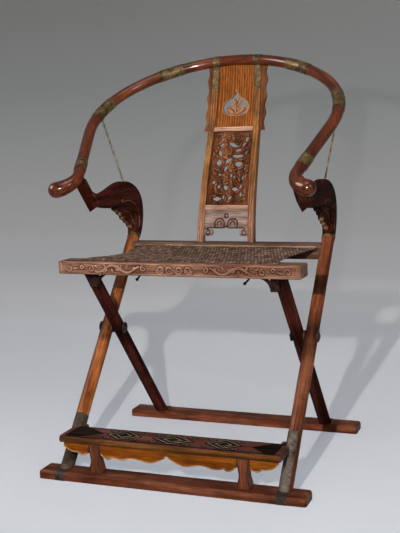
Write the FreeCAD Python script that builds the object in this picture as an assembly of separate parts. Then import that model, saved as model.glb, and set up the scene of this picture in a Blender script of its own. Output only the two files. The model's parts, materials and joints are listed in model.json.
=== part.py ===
import FreeCAD, Part
import math
import os
from FreeCAD import Vector as V

# Folding armchair with crossed legs and a horseshoe crest rail, in millimetres.
# X runs across the chair, Y runs back, Z is up from the floor. Sizes in Y count from the leg pivot, and
# the finished pieces are moved so that the chair's box is centred on the origin.

# Crossed legs and their pivots
pivot_height = 334.0
long_leg_lean = 40.3
short_leg_lean = 41.1
long_leg_x = 290.0
leg_d = 34.0
leg_gap = 1.5
pin_d = 10.0
pin_head_d = 20.0
pin_head_h = 5.0
washer_d = 30.0
washer_t = 2.5
spot_face_depth = 1.2
running_clearance = 0.05
washer_play = 0.1

# Joinery
tenon_d = 18.0
tenon_wall = 5.0
joint_clearance = 0.1

# Foot rails
foot_rail_len = 700.0
foot_rail_w = 62.0
foot_rail_h = 22.0
foot_rail_set = 2.0
foot_rail_round = 7.0
foot_strap_w = 26.0
foot_strap_t = 1.5

# Seat rails and webbing
seat_height = 545.0
front_rail_len = 640.0
front_rail_depth = 65.0
front_rail_h = 33.0
front_rail_set = 2.5
front_rail_round = 4.0
rear_rail_rise = 7.0
rear_rail_depth = 40.0
rear_rail_h = 42.0
rear_rail_set = 12.0
rear_rail_housing = 6.0
rear_tenon_drop = 14.0
rear_tenon_d = 14.0
brace_reach = 38.0
brace_w = 12.0
brace_t = 6.0
webbing_t = 3.5
webbing_front_half = 266.0
webbing_waist_half = 237.0
webbing_waist_share = 0.4
webbing_rear_half = 270.0
webbing_lap = 44.0
webbing_drop = 11.0
webbing_sag = 5.0
soft_gap = 0.3

# Crest rail, drawn in its own tilted plane from the middle of the back to the hand
crest_d = 30.0
crest_rise = 515.0
crest_setback = 151.93
crest_tilt = 33.6
crest_back_r = 375.0
crest_back_turn = 48.6
crest_side_r = 252.0
crest_side_turn = 54.6
crest_arm_len = 194.0
hand_r = 56.0
hand_turn = 86.0
hand_d = 41.0
shoulder_joint_s = 200.0
side_joint_s = 445.0
lap_len = 56.0
wedge_w = 6.0
strap_t = 1.2
joint_strap_len = 80.0
hand_strap_s = 716.0
hand_strap_len = 36.0

# Curved necks, stays and bands
neck_t = 30.0
neck_joint_rise = 13.85
neck_module = 10.0
neck_round = 7.0
neck_seat_s = 752.0
neck_collar_len = 18.0
neck_tenon_len = 32.0
neck_toe_w = 34.0
neck_band_h = 12.0
spandrel_t = 20.0
stay_d = 5.0
stay_s = 462.0
stay_set = 44.6
stay_depth = 12.0

# Splat
splat_foot_set = 6.0
splat_foot_lean = 4.0
splat_top_lean = 3.0
splat_foot_w = 168.0
splat_head_w = 142.0
stile_w = 18.0
stile_t = 20.0
cross_rail_h = 12.0
cross_rail_t = 15.0
lower_cross_rise = 90.0
upper_cross_rise = 307.0
panel_t = 9.0
groove_depth = 4.0
rail_stub = 7.0
splat_head_drop = 12.0
splat_overrun = 0.04
wing_half = 90.0
wing_t = 9.0
wing_wave = 2.5
wing_waves = 4
cloud_w = 78.0
cloud_h = 80.0
cloud_rise = 384.0
border_w = 7.0
curl_x = 19.5
curl_r = 15.6
curl_slit = 2.6
foot_drop = 74.0
apron_rise = 52.0
splat_strap_len = 84.0

# Footrest
footrest_top = 116.0
footrest_t = 18.0
footrest_len = 576.0
footrest_depth = 84.0
footrest_back = 24.0
footrest_notch = 12.0
footrest_notch_gap = 5.0
footrest_round = 5.0
lug_t = 8.0
lug_h = 14.0
lug_gap = 1.0
lug_reach = 30.0
lug_pin_d = 8.0
lug_pin_depth = 13.0
apron_t = 12.0
apron_set = 6.0
apron_len = 560.0
apron_h = 34.0
apron_notch_h = 14.0
footrest_leg_x = 195.0
footrest_leg_w = 34.0
footrest_leg_waist = 22.0
footrest_leg_t = 28.0
footrest_leg_gap = 0.2

# A length greater than the chair, for cutting planes
room = 3000.0

rear_rail_top = seat_height + rear_rail_rise
leg_top = (rear_rail_top + neck_joint_rise - pivot_height) / math.cos(math.radians(long_leg_lean))
short_leg_x = long_leg_x - leg_d - leg_gap
crest_r = crest_d / 2
crest_clear_r = crest_r + joint_clearance
strap_in_r = crest_r + joint_clearance
strap_out_r = strap_in_r + strap_t
SIDES = {"left": -1, "right": 1}


def long_axis(z):
    """Y of the long legs' axis at a height."""
    return (z - pivot_height) * math.tan(math.radians(long_leg_lean))


def short_axis(z):
    """Y of the short legs' axis at a height."""
    return (pivot_height - z) * math.tan(math.radians(short_leg_lean))


crest_top_z = seat_height + crest_rise
lower_cross_z = rear_rail_top + lower_cross_rise
upper_cross_z = rear_rail_top + upper_cross_rise
cloud_z = rear_rail_top + cloud_rise
front_foot_y = long_axis(foot_rail_h / 2) - foot_rail_set
rear_foot_y = short_axis(foot_rail_h / 2) + foot_rail_set
front_rail_z = seat_height - front_rail_h / 2
front_rail_y = short_axis(front_rail_z) - front_rail_set
rear_rail_z = rear_rail_top - rear_rail_h / 2
rear_rail_y = long_axis(rear_rail_z) + rear_rail_set
crest_back_y = rear_rail_y + crest_setback
rear_tenon_z = rear_rail_top - rear_tenon_drop
rear_tenon_y = long_axis(rear_tenon_z)
footrest_z = footrest_top - footrest_t / 2
footrest_pin_y = long_axis(footrest_z)
footrest_rear_y = footrest_pin_y - footrest_back
footrest_front_y = footrest_rear_y - footrest_depth
front_extent = front_foot_y - foot_rail_w / 2 - foot_strap_t - joint_clearance
rear_extent = crest_back_y + crest_r
frame_shift = -(front_extent + rear_extent) / 2


def bar(p, q, d):
    """Round bar of diameter d from p to q."""
    return Part.makeCylinder(d / 2, (q - p).Length, p, q - p)


def tube(p, q, d_in, d_out):
    """Round sleeve from p to q."""
    return bar(p, q, d_out).cut(bar(p, q, d_in))


def block(x0, x1, y0, y1, z0, z1):
    """Box between two corners."""
    return Part.makeBox(x1 - x0, y1 - y0, z1 - z0, V(x0, y0, z0))


def level(z0, z1):
    """Everything between two heights."""
    return block(-room / 2, room / 2, -room / 2, room / 2, z0, z1)


def line(p, q):
    return Part.LineSegment(p, q).toShape()


def curve(points):
    """Smooth curve through points."""
    spline = Part.BSplineCurve()
    spline.interpolate(points)
    return spline.toShape()


def polygon(points):
    """Face with straight edges."""
    return Part.Face(Part.makePolygon(points + points[:1]))


def joined(shapes):
    """One solid from touching or overlapping ones."""
    return shapes[0].multiFuse(shapes[1:]).removeSplitter()


def mirrored(shape):
    return shape.mirror(V(0, 0, 0), V(1, 0, 0))


def on_side(shape, side):
    """A right-hand piece, or its mirror image on the left."""
    return shape if side > 0 else mirrored(shape)


def round_long_edges(shape, radius, axis):
    """Round the straight edges that run along an axis."""
    def runs_along(edge):
        way = edge.Vertexes[-1].Point - edge.Vertexes[0].Point
        return way.Length > 0 and abs(way.normalize().dot(axis)) > 0.999
    return shape.makeFillet(radius, [e for e in shape.Edges if len(e.Vertexes) == 2 and runs_along(e)])


# Crossed frame


def leg_bar(axis_y, x, z0, z1, d):
    """Length of a leaning leg between two heights, cut level at both ends."""
    p = V(x, axis_y(z0 - d), z0 - d)
    q = V(x, axis_y(z1 + d), z1 + d)
    return bar(p, q, d).common(level(z0, z1))


def leg_point(distance):
    """Point of the right long leg's axis, counted up the leg from the pivot."""
    lean = math.radians(long_leg_lean)
    return V(long_leg_x, distance * math.sin(lean), pivot_height + distance * math.cos(lean))


def pivot_bar(x0, x1, d):
    return bar(V(x0, 0, pivot_height), V(x1, 0, pivot_height), d)


def footrest_bar(x0, x1, d):
    return bar(V(x0, footrest_pin_y, footrest_z), V(x1, footrest_pin_y, footrest_z), d)


def pivot_cuts(x):
    """Pin bore and the flat seats of the washers on both sides of a leg."""
    seat_d = washer_d + 2 * washer_play
    outer = x + leg_d / 2 - spot_face_depth
    inner = x - leg_d / 2 + spot_face_depth
    return [
        pivot_bar(x - leg_d, x + leg_d, pin_d + 2 * running_clearance),
        pivot_bar(outer, x + leg_d, seat_d),
        pivot_bar(x - leg_d, inner, seat_d),
    ]


def rear_rail_tenon(clearance):
    """Round tenons of the rear seat rail, in both long legs."""
    tip = long_leg_x + leg_d / 2 - tenon_wall + clearance
    return bar(V(-tip, rear_tenon_y, rear_tenon_z), V(tip, rear_tenon_y, rear_tenon_z),
               rear_tenon_d + 2 * clearance)


def rear_rail_blank(clearance):
    """Length of the rear seat rail, whose ends are let into the legs."""
    half = long_leg_x - leg_d / 2 + rear_rail_housing + clearance
    grow = rear_rail_depth / 2 + clearance
    return block(-half, half, rear_rail_y - grow, rear_rail_y + grow,
                 rear_rail_top - rear_rail_h - clearance, rear_rail_top + clearance)


def long_leg():
    foot = V(long_leg_x, long_axis(foot_rail_h - leg_d), foot_rail_h - leg_d)
    head = leg_point(leg_top)
    shaft = bar(foot, head, leg_d).common(level(foot_rail_h, room))
    foot_tenon = leg_bar(long_axis, long_leg_x, tenon_wall, foot_rail_h + leg_d, tenon_d)
    neck_tenon = bar(leg_point(leg_top - leg_d), leg_point(leg_top + neck_tenon_len), tenon_d)
    cuts = pivot_cuts(long_leg_x)
    cuts.append(rear_rail_tenon(joint_clearance))
    cuts.append(rear_rail_blank(joint_clearance))
    pin_tip = long_leg_x - leg_d / 2 + lug_pin_depth + running_clearance
    cuts.append(footrest_bar(long_leg_x - leg_d, pin_tip, lug_pin_d + 2 * running_clearance))
    return joined([shaft, foot_tenon, neck_tenon]).cut(cuts)


def short_leg():
    rail_under = seat_height - front_rail_h
    shaft = leg_bar(short_axis, short_leg_x, foot_rail_h, rail_under, leg_d)
    tenon = leg_bar(short_axis, short_leg_x, tenon_wall, seat_height - tenon_wall, tenon_d)
    return joined([shaft, tenon]).cut(pivot_cuts(short_leg_x))


def foot_rail(y, axis_y, leg_x):
    """Flat runner with rounded top edges and ends, mortised for two legs."""
    half = foot_rail_len / 2
    rail = block(-half, half, y - foot_rail_w / 2, y + foot_rail_w / 2, 0, foot_rail_h)
    rail = round_long_edges(rail, foot_rail_round, V(0, 0, 1))
    top_edges = [e for e in rail.Edges if e.BoundBox.ZMin > foot_rail_h - joint_clearance]
    rail = rail.makeFillet(foot_rail_round, top_edges)
    mortises = []
    for side in SIDES.values():
        mortises.append(leg_bar(axis_y, side * leg_x, tenon_wall - joint_clearance, foot_rail_h + leg_d,
                                tenon_d + 2 * joint_clearance))
    return rail.cut(mortises)


def foot_straps(y, facing, leg_x, axis_y):
    """Iron straps over the outer edge of a foot rail, one at each leg."""
    edge_y = y + facing * foot_rail_w / 2
    reach = axis_y(foot_rail_h) - facing * joint_clearance
    straps = []
    for side in SIDES.values():
        x0 = side * leg_x - foot_strap_w / 2
        x1 = side * leg_x + foot_strap_w / 2
        grow = joint_clearance
        outer = [edge_y + facing * (grow + foot_strap_t), reach]
        inner = [edge_y + facing * grow, reach - facing * room]
        sheet = block(x0, x1, min(outer), max(outer), grow, foot_rail_h + grow + foot_strap_t)
        sheet = round_long_edge_at(sheet, outer[0], foot_rail_h + grow + foot_strap_t,
                                   foot_rail_round + foot_strap_t)
        inside = block(x0 - grow, x1 + grow, min(inner), max(inner), -room, foot_rail_h + grow)
        inside = round_long_edge_at(inside, inner[0], foot_rail_h + grow, foot_rail_round)
        leg_hole = leg_bar(axis_y, side * leg_x, -leg_d, foot_rail_h + leg_d, leg_d + 2 * grow)
        straps.append(sheet.cut([inside, leg_hole]))
    return Part.makeCompound(straps)


def round_long_edge_at(shape, y, z, radius):
    """Round the edge along X at one place."""
    tiny = joint_clearance / 10
    picked = []
    for edge in shape.Edges:
        middle = edge.BoundBox.Center
        if abs(middle.y - y) < tiny and abs(middle.z - z) < tiny:
            picked.append(edge)
    return shape.makeFillet(radius, picked)


def front_seat_rail():
    half = front_rail_len / 2
    rail = block(-half, half, front_rail_y - front_rail_depth / 2, front_rail_y + front_rail_depth / 2,
                 seat_height - front_rail_h, seat_height)
    rail = round_long_edges(rail, front_rail_round, V(0, 0, 1))
    rail = round_long_edges(rail, front_rail_round, V(1, 0, 0))
    mortises = []
    for side in SIDES.values():
        mortises.append(leg_bar(short_axis, side * short_leg_x, seat_height - front_rail_h - leg_d,
                                seat_height - tenon_wall + joint_clearance, tenon_d + 2 * joint_clearance))
    return rail.cut(mortises)


def rear_seat_rail():
    return joined([rear_rail_blank(0), rear_rail_tenon(0)])


def corner_brace():
    """Curved iron brace between a short leg's inner side and the front seat rail."""
    under = seat_height - front_rail_h - joint_clearance
    x_leg = short_leg_x - leg_d / 2
    y = short_axis(under)
    centre = V(x_leg - brace_reach, y - brace_w / 2, under - brace_reach)
    outer = Part.makeCylinder(brace_reach, brace_w, centre, V(0, 1, 0))
    inner = Part.makeCylinder(brace_reach - brace_t, brace_w, centre, V(0, 1, 0))
    corner = block(x_leg - brace_reach, x_leg + leg_d, y - brace_w, y + brace_w, under - brace_reach, under)
    ring = outer.cut(inner).common(corner)
    filler = block(x_leg - brace_reach, x_leg + leg_d / 2, y - brace_w / 2, y + brace_w / 2,
                   under - brace_t, under)
    plate = block(x_leg - brace_t, x_leg + leg_d / 2, y - brace_w / 2, y + brace_w / 2,
                  under - brace_reach, under)
    leg = leg_bar(short_axis, short_leg_x, under - brace_reach - leg_d, under + leg_d,
                  leg_d + 2 * joint_clearance)
    return joined([ring, filler, plate]).cut(leg)


def pin_head(x, facing):
    """Domed rivet head that stands on the plane x."""
    dome_r = (pin_head_d ** 2 / 4 + pin_head_h ** 2) / (2 * pin_head_h)
    ball = Part.makeSphere(dome_r, V(x + facing * (pin_head_h - dome_r), 0, pivot_height))
    half = block(0, room, -room, room, -room, room)
    if facing < 0:
        half = mirrored(half)
    half.translate(V(x, 0, 0))
    return ball.common(half)


def washer_faces():
    """Planes of the pivot stack, from the chair's inside to its outside."""
    inner = short_leg_x - leg_d / 2 + spot_face_depth - washer_play
    middle_in = short_leg_x + leg_d / 2 - spot_face_depth + washer_play
    middle_out = long_leg_x - leg_d / 2 + spot_face_depth
    outer = long_leg_x + leg_d / 2 - spot_face_depth
    return [(inner - washer_t, inner), (middle_in, middle_out), (outer, outer + washer_t)]


def pivot_washers():
    hole = pin_d + 2 * running_clearance
    rings = []
    for x0, x1 in washer_faces():
        rings.append(pivot_bar(x0, x1, washer_d).cut(pivot_bar(x0, x1, hole)))
    return Part.makeCompound(rings)


def pivot_pin():
    planes = washer_faces()
    x0 = planes[0][0]
    x1 = planes[-1][1]
    return joined([pivot_bar(x0, x1, pin_d), pin_head(x0, -1), pin_head(x1, 1)])


# Crest rail


def crest_runs():
    """Arcs and straight of the right half: start length, length, radius, start point, start heading.

    Headings turn from +X towards the front, so a positive radius bends forward and a negative one outward.
    """
    moves = [
        (crest_back_r, math.radians(crest_back_turn) * crest_back_r),
        (crest_side_r, math.radians(crest_side_turn) * crest_side_r),
        (None, crest_arm_len),
        (-hand_r, math.radians(hand_turn) * hand_r),
    ]
    runs = []
    start = 0.0
    point = V(0, 0, 0)
    heading = 0.0
    for radius, length in moves:
        runs.append((start, length, radius, point, heading))
        point, heading = run_end(radius, length, point, heading)
        start += length
    return runs


def run_end(radius, length, point, heading):
    """Point and heading after going a length along an arc or a straight."""
    if radius is None:
        return point + V(math.cos(heading), -math.sin(heading), 0) * length, heading
    after = heading + length / radius
    swing = V(math.sin(after) - math.sin(heading), math.cos(after) - math.cos(heading), 0)
    return point + swing * radius, after


def crest_at(s):
    """Point and heading of the crest's middle line at a length from the middle of the back."""
    for start, length, radius, point, heading in crest_runs():
        if s <= start + length:
            break
    return run_end(radius, s - start, point, heading)


def across_crest(shape, s):
    """Put a section drawn in X (towards the outside) and Y (up) square to the crest's middle line."""
    point, heading = crest_at(s)
    side = V(math.sin(heading), math.cos(heading), 0)
    way = V(math.cos(heading), -math.sin(heading), 0)
    place = FreeCAD.Matrix(side.x, 0, way.x, point.x, side.y, 0, way.y, point.y, 0, 1, 0, 0, 0, 0, 0, 1)
    return shape.transformed(place)


def disc(radius):
    return Part.Face(Part.Wire(Part.makeCircle(radius)))


def half_disc(radius, up):
    """Upper or lower half of a round section."""
    cap = Part.Arc(V(radius, 0, 0), V(0, up * radius, 0), V(-radius, 0, 0)).toShape()
    return Part.Face(Part.Wire([cap, line(V(-radius, 0, 0), V(radius, 0, 0))]))


def ring(inner, outer):
    return disc(outer).cut(disc(inner))


def crest_length(s0, s1, section):
    """Sweep a section along the crest's middle line between two lengths."""
    parts = []
    for start, length, radius, point, heading in crest_runs():
        a = max(s0, start)
        b = min(s1, start + length)
        if b - a < joint_clearance:
            continue
        face = across_crest(section, a)
        if radius is None:
            parts.append(face.extrude(V(math.cos(heading), -math.sin(heading), 0) * (b - a)))
        else:
            centre = point - V(math.sin(heading), math.cos(heading), 0) * radius
            turn = math.degrees((b - a) / abs(radius))
            parts.append(face.revolve(centre, V(0, 0, -1 if radius > 0 else 1), turn))
    return joined(parts) if len(parts) > 1 else parts[0]


def to_crest(shape):
    """Tilt a shape from the crest's own plane into the chair."""
    tilted = shape.copy()
    tilted.rotate(V(0, 0, 0), V(1, 0, 0), crest_tilt)
    tilted.translate(V(0, crest_back_y, crest_top_z))
    return tilted


def crest_place(s):
    """Point of the right half of the crest's middle line, in the chair."""
    return to_crest(Part.Vertex(crest_at(s)[0])).Point


def wedge(s, clearance):
    """Square pin through the middle of a lap joint, flush with the rail."""
    half = wedge_w / 2 + clearance
    square = polygon([V(-crest_d, -half, 0), V(crest_d, -half, 0), V(crest_d, half, 0), V(-crest_d, half, 0)])
    pin = across_crest(square, s - half)
    way = across_crest(Part.Vertex(V(0, 0, 1)), s).Point - across_crest(Part.Vertex(V(0, 0, 0)), s).Point
    pin = pin.extrude(way * 2 * half)
    return pin if clearance else pin.common(crest_length(s - wedge_w, s + wedge_w, disc(crest_r)))


def lap_half(s, up):
    """Half of a lap joint, notched for its wedge pin."""
    half = crest_length(s - lap_len / 2, s + lap_len / 2, half_disc(crest_r, up))
    return half.cut(wedge(s, joint_clearance))


def crest_piece(s0, s1, lap_before, lap_after):
    """Length of rail between two lap joints, with the upper half before it and the lower half after it."""
    parts = [crest_length(s0, s1, disc(crest_r))]
    if lap_before is not None:
        parts.append(lap_half(lap_before, 1))
    if lap_after is not None:
        parts.append(lap_half(lap_after, -1))
    return joined(parts)


def crest_centre():
    half = crest_piece(0, shoulder_joint_s - lap_len / 2, None, shoulder_joint_s)
    return joined([half, mirrored(half)])


def crest_shoulder():
    s0 = shoulder_joint_s + lap_len / 2
    return crest_piece(s0, side_joint_s - lap_len / 2, shoulder_joint_s, side_joint_s)


def hand():
    """Swelling, outward-turned end of an arm with a round tip."""
    start, length = crest_runs()[-1][:2]
    steps = 4
    hoops = []
    for i in range(steps + 1):
        share = i / steps
        swell = share * share * (3 - 2 * share)
        radius = crest_r + (hand_d / 2 - crest_r) * swell
        hoops.append(across_crest(Part.Wire(Part.makeCircle(radius)), start + share * length))
    point, heading = crest_at(start + length)
    tip = Part.makeSphere(hand_d / 2, point, V(math.cos(heading), -math.sin(heading), 0), 0, 90, 360)
    return joined([Part.makeLoft(hoops, True, False), tip])


def crest_arm():
    hand_start = crest_runs()[-1][0]
    rail = crest_piece(side_joint_s + lap_len / 2, hand_start, side_joint_s, None)
    return joined([rail, hand()])


def crest_sleeve(s, length, inner, outer):
    """Sheet sleeve round the crest rail."""
    return crest_length(s - length / 2, s + length / 2, ring(inner, outer))


def strap_room(s, length):
    """Space round the crest rail that a strap takes, with clearance."""
    half = length / 2 + joint_clearance
    return to_crest(crest_length(s - half, s + half, disc(strap_out_r + joint_clearance)))


def neck_room():
    """Space that the right arm, its hand and its strap take where the neck meets them."""
    hand_start = crest_runs()[-1][0]
    rail = crest_length(side_joint_s, hand_start, disc(crest_clear_r))
    return [to_crest(rail), to_crest(hand()), strap_room(hand_strap_s, hand_strap_len)]


def splat_room():
    """Space that the crest rail and the splat's straps take above the splat, on both sides."""
    rail = to_crest(crest_length(0, shoulder_joint_s, disc(crest_clear_r)))
    strap = strap_room(splat_strap_s, stile_w)
    return [rail, mirrored(rail), strap, mirrored(strap)]


def largest(shape):
    """The main body left by a cut, without the chips beyond the crest rail."""
    return max(shape.Solids, key=lambda solid: solid.Volume)


# Necks, spandrels and stays


def neck_stations():
    """Middle line of the right neck in Y and Z with its depth, from the leg's top to the crest's arm.

    The tables count in neck modules from the leg's top and from the neck's seat under the arm.
    """
    from_leg = [(1.7, 5.0, 5.4), (1.2, 9.2, 6.2), (-3.4, 12.1, 7.0), (-10.0, 12.7, 6.6), (-16.8, 11.9, 5.0)]
    from_seat = [(9.8, -7.6, 3.6), (6.2, -6.9, 3.1), (2.4, -4.5, 1.8), (-0.7, -1.3, 1.8)]
    base = leg_point(leg_top)
    stations = [(base.y, base.z, leg_d)]
    for start, table in ((base, from_leg), (crest_place(neck_seat_s), from_seat)):
        for y, z, depth in table:
            stations.append((start.y + y * neck_module, start.z + z * neck_module, depth * neck_module))
    return stations


def neck_edges():
    """Back and front edge points of the neck: the middle line set off by half its depth."""
    stations = neck_stations()
    lean = math.radians(long_leg_lean)
    back = []
    front = []
    for i, (y, z, depth) in enumerate(stations):
        before = stations[max(i - 1, 0)]
        after = stations[min(i + 1, len(stations) - 1)]
        way = V(0, after[0] - before[0], after[1] - before[1]).normalize()
        if i == 0:
            way = V(0, math.sin(lean), math.cos(lean))
        off = V(0, way.z, -way.y) * (depth / 2)
        back.append(V(0, y, z) + off)
        front.append(V(0, y, z) - off)
    return back, front


def neck_ribbon():
    """The neck's outline as a board of one thickness, with its long edges rounded."""
    back, front = neck_edges()
    wire = Part.Wire([curve(back), line(back[-1], front[-1]), curve(front[::-1]), line(front[0], back[0])])
    board = Part.Face(wire).extrude(V(neck_t, 0, 0))
    board.translate(V(long_leg_x - neck_t / 2, 0, 0))
    long_edges = []
    for edge in board.Edges:
        if isinstance(edge.Curve, Part.BSplineCurve):
            long_edges.append(edge)
    return board.makeFillet(neck_round, long_edges)


def neck_toe():
    """Keeled front end of the neck, a little wider than the rest, slanting down and back from the hand."""
    seat = V(long_leg_x, crest_place(neck_seat_s).y, crest_place(neck_seat_s).z)
    keel = seat + V(0, -2.5, -2.9) * neck_module
    heel = seat + V(0, 0, -1.2) * neck_module
    half = V(neck_toe_w / 2, 0, 0)
    return polygon([keel, heel + half, heel - half]).extrude(V(0, 7.1, -7.4) * neck_module)


def stay_ends():
    """Foot of the right stay inside the neck, and its head on the crest's middle line."""
    seat_y = leg_point(leg_top).y - stay_set
    nearest = min(neck_edges()[0], key=lambda point: abs(point.y - seat_y))
    return V(long_leg_x, seat_y, nearest.z - stay_depth), crest_place(stay_s)


def arm_neck():
    collar = bar(leg_point(leg_top), leg_point(leg_top + neck_collar_len), leg_d)
    body = joined([neck_ribbon(), neck_toe(), collar])
    below_joint = bar(leg_point(leg_top - leg_d), leg_point(leg_top), 3 * leg_d)
    foot, head = stay_ends()
    cuts = neck_room()
    cuts.append(below_joint)
    cuts.append(bar(leg_point(leg_top - leg_d), leg_point(leg_top + neck_tenon_len + joint_clearance),
                    tenon_d + 2 * joint_clearance))
    cuts.append(bar(foot, head, stay_d + 2 * joint_clearance))
    return largest(body.cut(cuts))


def neck_band():
    half = neck_band_h / 2
    p = leg_point(leg_top - half)
    q = leg_point(leg_top + half)
    sleeve = tube(p, q, leg_d + 2 * joint_clearance, leg_d + 2 * (joint_clearance + strap_t))
    return sleeve.cut(neck_ribbon())


def neck_spandrel():
    """Carved bracket in the bend of a neck, with a scalloped front edge."""
    base = leg_point(leg_top)
    steps = [(-1.4, 2.6), (-3.2, 4.2), (-5.4, 5.2), (-7.6, 6.8), (-9.8, 8.4), (-12.4, 9.2)]
    points = [base + V(-base.x, y * neck_module, z * neck_module) for y, z in steps]
    edges = []
    for p, q in zip(points, points[1:]):
        out = V(0, -(q.z - p.z), q.y - p.y).normalize()
        if out.y > 0:
            out = out * -1
        bulge = (p + q) * 0.5 + out * ((q - p).Length / 4)
        edges.append(Part.Arc(p, bulge, q).toShape())
    inside = neck_stations()
    deep = [V(0, inside[i][0], inside[i][1]) for i in (4, 2, 1)]
    corners = [points[-1]] + deep + [points[0]]
    for p, q in zip(corners, corners[1:]):
        edges.append(line(p, q))
    bracket = Part.Face(Part.Wire(edges)).extrude(V(spandrel_t, 0, 0))
    bracket.translate(V(long_leg_x - spandrel_t / 2, 0, 0))
    collar = bar(leg_point(0), leg_point(leg_top + neck_collar_len), leg_d + 2 * (joint_clearance + strap_t))
    return largest(bracket.cut([neck_ribbon(), collar]))


def arm_stay():
    foot, head = stay_ends()
    rail = to_crest(crest_length(stay_s - joint_strap_len, stay_s + joint_strap_len, disc(strap_out_r)))
    return bar(foot, head, stay_d).cut(rail)


# Splat

splat_foot = V(0, rear_rail_y + splat_foot_set, rear_rail_top)
splat_head = V(0, crest_back_y, crest_top_z)
splat_strap_s = splat_head_w / 2 - stile_w / 2


def splat_point(share, off):
    """Point of the splat's side curve, set off backwards, at a share of its height."""
    rise = splat_head.z - splat_foot.z
    run = splat_head.y - splat_foot.y
    m0 = math.tan(math.radians(splat_foot_lean)) * rise
    m1 = math.tan(math.radians(splat_top_lean)) * rise
    u = share
    y = run * (3 * u ** 2 - 2 * u ** 3) + m0 * (u ** 3 - 2 * u ** 2 + u) + m1 * (u ** 3 - u ** 2)
    slope = (run * 6 * (u - u ** 2) + m0 * (3 * u ** 2 - 4 * u + 1) + m1 * (3 * u ** 2 - 2 * u)) / rise
    back = V(0, 1, -slope).normalize()
    return splat_foot + V(0, y, u * rise) + back * off


def splat_slab(front, back):
    """Curved board across the whole splat between two set-offs from its middle."""
    steps = 8
    shares = [(1 + 2 * splat_overrun) * i / steps - splat_overrun for i in range(steps + 1)]
    ahead = [splat_point(share, front) for share in shares]
    behind = [splat_point(share, back) for share in shares[::-1]]
    wire = Part.Wire([curve(ahead), line(ahead[-1], behind[0]), curve(behind), line(behind[-1], ahead[0])])
    width = splat_foot_w + 2 * wing_half
    slab = Part.Face(wire).extrude(V(width, 0, 0))
    slab.translate(V(-width / 2, 0, 0))
    return slab


def splat_half(z):
    """Half the splat's width over the stiles at a height."""
    share = (z - splat_foot.z) / (splat_head.z - splat_foot.z)
    return (splat_foot_w + (splat_head_w - splat_foot_w) * share) / 2


def front_prism(face):
    """A shape drawn in front view, as seen through the whole chair."""
    prism = face.extrude(V(0, room, 0))
    prism.translate(V(0, -room / 2, 0))
    return prism


def stile_prism():
    z0 = splat_foot.z
    z1 = splat_head.z - splat_head_drop
    corners = [V(splat_half(z0) - stile_w, 0, z0), V(splat_half(z0), 0, z0),
               V(splat_half(z1), 0, z1), V(splat_half(z1) - stile_w, 0, z1)]
    return front_prism(polygon(corners))


def between_stiles(z0, z1, into):
    """Front view of the field between the stiles, let into them by a depth."""
    low = splat_half(z0) - stile_w + into
    high = splat_half(z1) - stile_w + into
    return polygon([V(-low, 0, z0), V(low, 0, z0), V(high, 0, z1), V(-high, 0, z1)])


def cross_rail_blank(z, clearance):
    face = between_stiles(z - clearance, z + cross_rail_h + clearance, rail_stub + clearance)
    half = cross_rail_t / 2 + clearance
    return splat_slab(-half, half).common(front_prism(face))


def panel_fields():
    """Lower and upper edge of each panel, tongues included."""
    return {
        "bottom": (splat_foot.z, lower_cross_z + groove_depth),
        "middle": (lower_cross_z + cross_rail_h - groove_depth, upper_cross_z + groove_depth),
        "top": (upper_cross_z + cross_rail_h - groove_depth, splat_head.z - splat_head_drop),
    }


def panel_blank(name, clearance):
    z0, z1 = panel_fields()[name]
    face = between_stiles(z0 - clearance, z1 + clearance, groove_depth + clearance)
    half = panel_t / 2 + clearance
    return splat_slab(-half, half).common(front_prism(face))


def splat_stile():
    stile = splat_slab(-stile_t / 2, stile_t / 2).common(stile_prism())
    cuts = [cross_rail_blank(z, joint_clearance) for z in (lower_cross_z, upper_cross_z)]
    cuts += [panel_blank(name, joint_clearance) for name in panel_fields()]
    return largest(stile.cut(cuts + splat_room()))


def splat_cross_rail(z):
    grooves = [panel_blank(name, joint_clearance) for name in panel_fields()]
    return cross_rail_blank(z, 0).cut(grooves)


def cloud_head():
    """Pierced cloud-head opening with a sprig left standing in it."""
    w = cloud_w / 2
    h = cloud_h / 2
    half = [(0, h), (0.12 * w, 0.68 * h), (0.42 * w, 0.4 * h), (0.82 * w, 0.14 * h), (w, -0.24 * h),
            (0.86 * w, -0.62 * h), (0.5 * w, -0.78 * h), (0, -0.84 * h)]
    right = [V(x, 0, cloud_z + z) for x, z in half]
    left = [V(-p.x, 0, p.z) for p in right[::-1]]
    opening = Part.Face(Part.Wire([curve(right), curve(left)]))
    outline = ((-0.09, -1), (0.09, -1), (0.05, 0.3), (-0.05, 0.3))
    sprig = [polygon([V(x * w, 0, cloud_z + z * h) for x, z in outline])]
    for lean in (-58, 58):
        sprig.append(leaf(0, cloud_z - 0.75 * h, 0.85 * w, 0.3 * w, lean))
    return front_prism(opening).cut([front_prism(face) for face in sprig])


def leaf(x, z, length, width, lean):
    """Pointed leaf in front view, from its stalk at (x, z), leaning from upright by degrees."""
    a = math.radians(lean)
    way = V(math.sin(a), 0, math.cos(a))
    side = V(math.cos(a), 0, -math.sin(a)) * (width / 2)
    root = V(x, 0, z)
    tip = root + way * length
    middle = root + way * (length * 0.45)
    return Part.Face(Part.Wire([Part.Arc(root, middle + side, tip).toShape(),
                                Part.Arc(tip, middle - side, root).toShape()]))


def splat_top_panel():
    return largest(panel_blank("top", 0).cut(splat_room() + [cloud_head()]))


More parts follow.
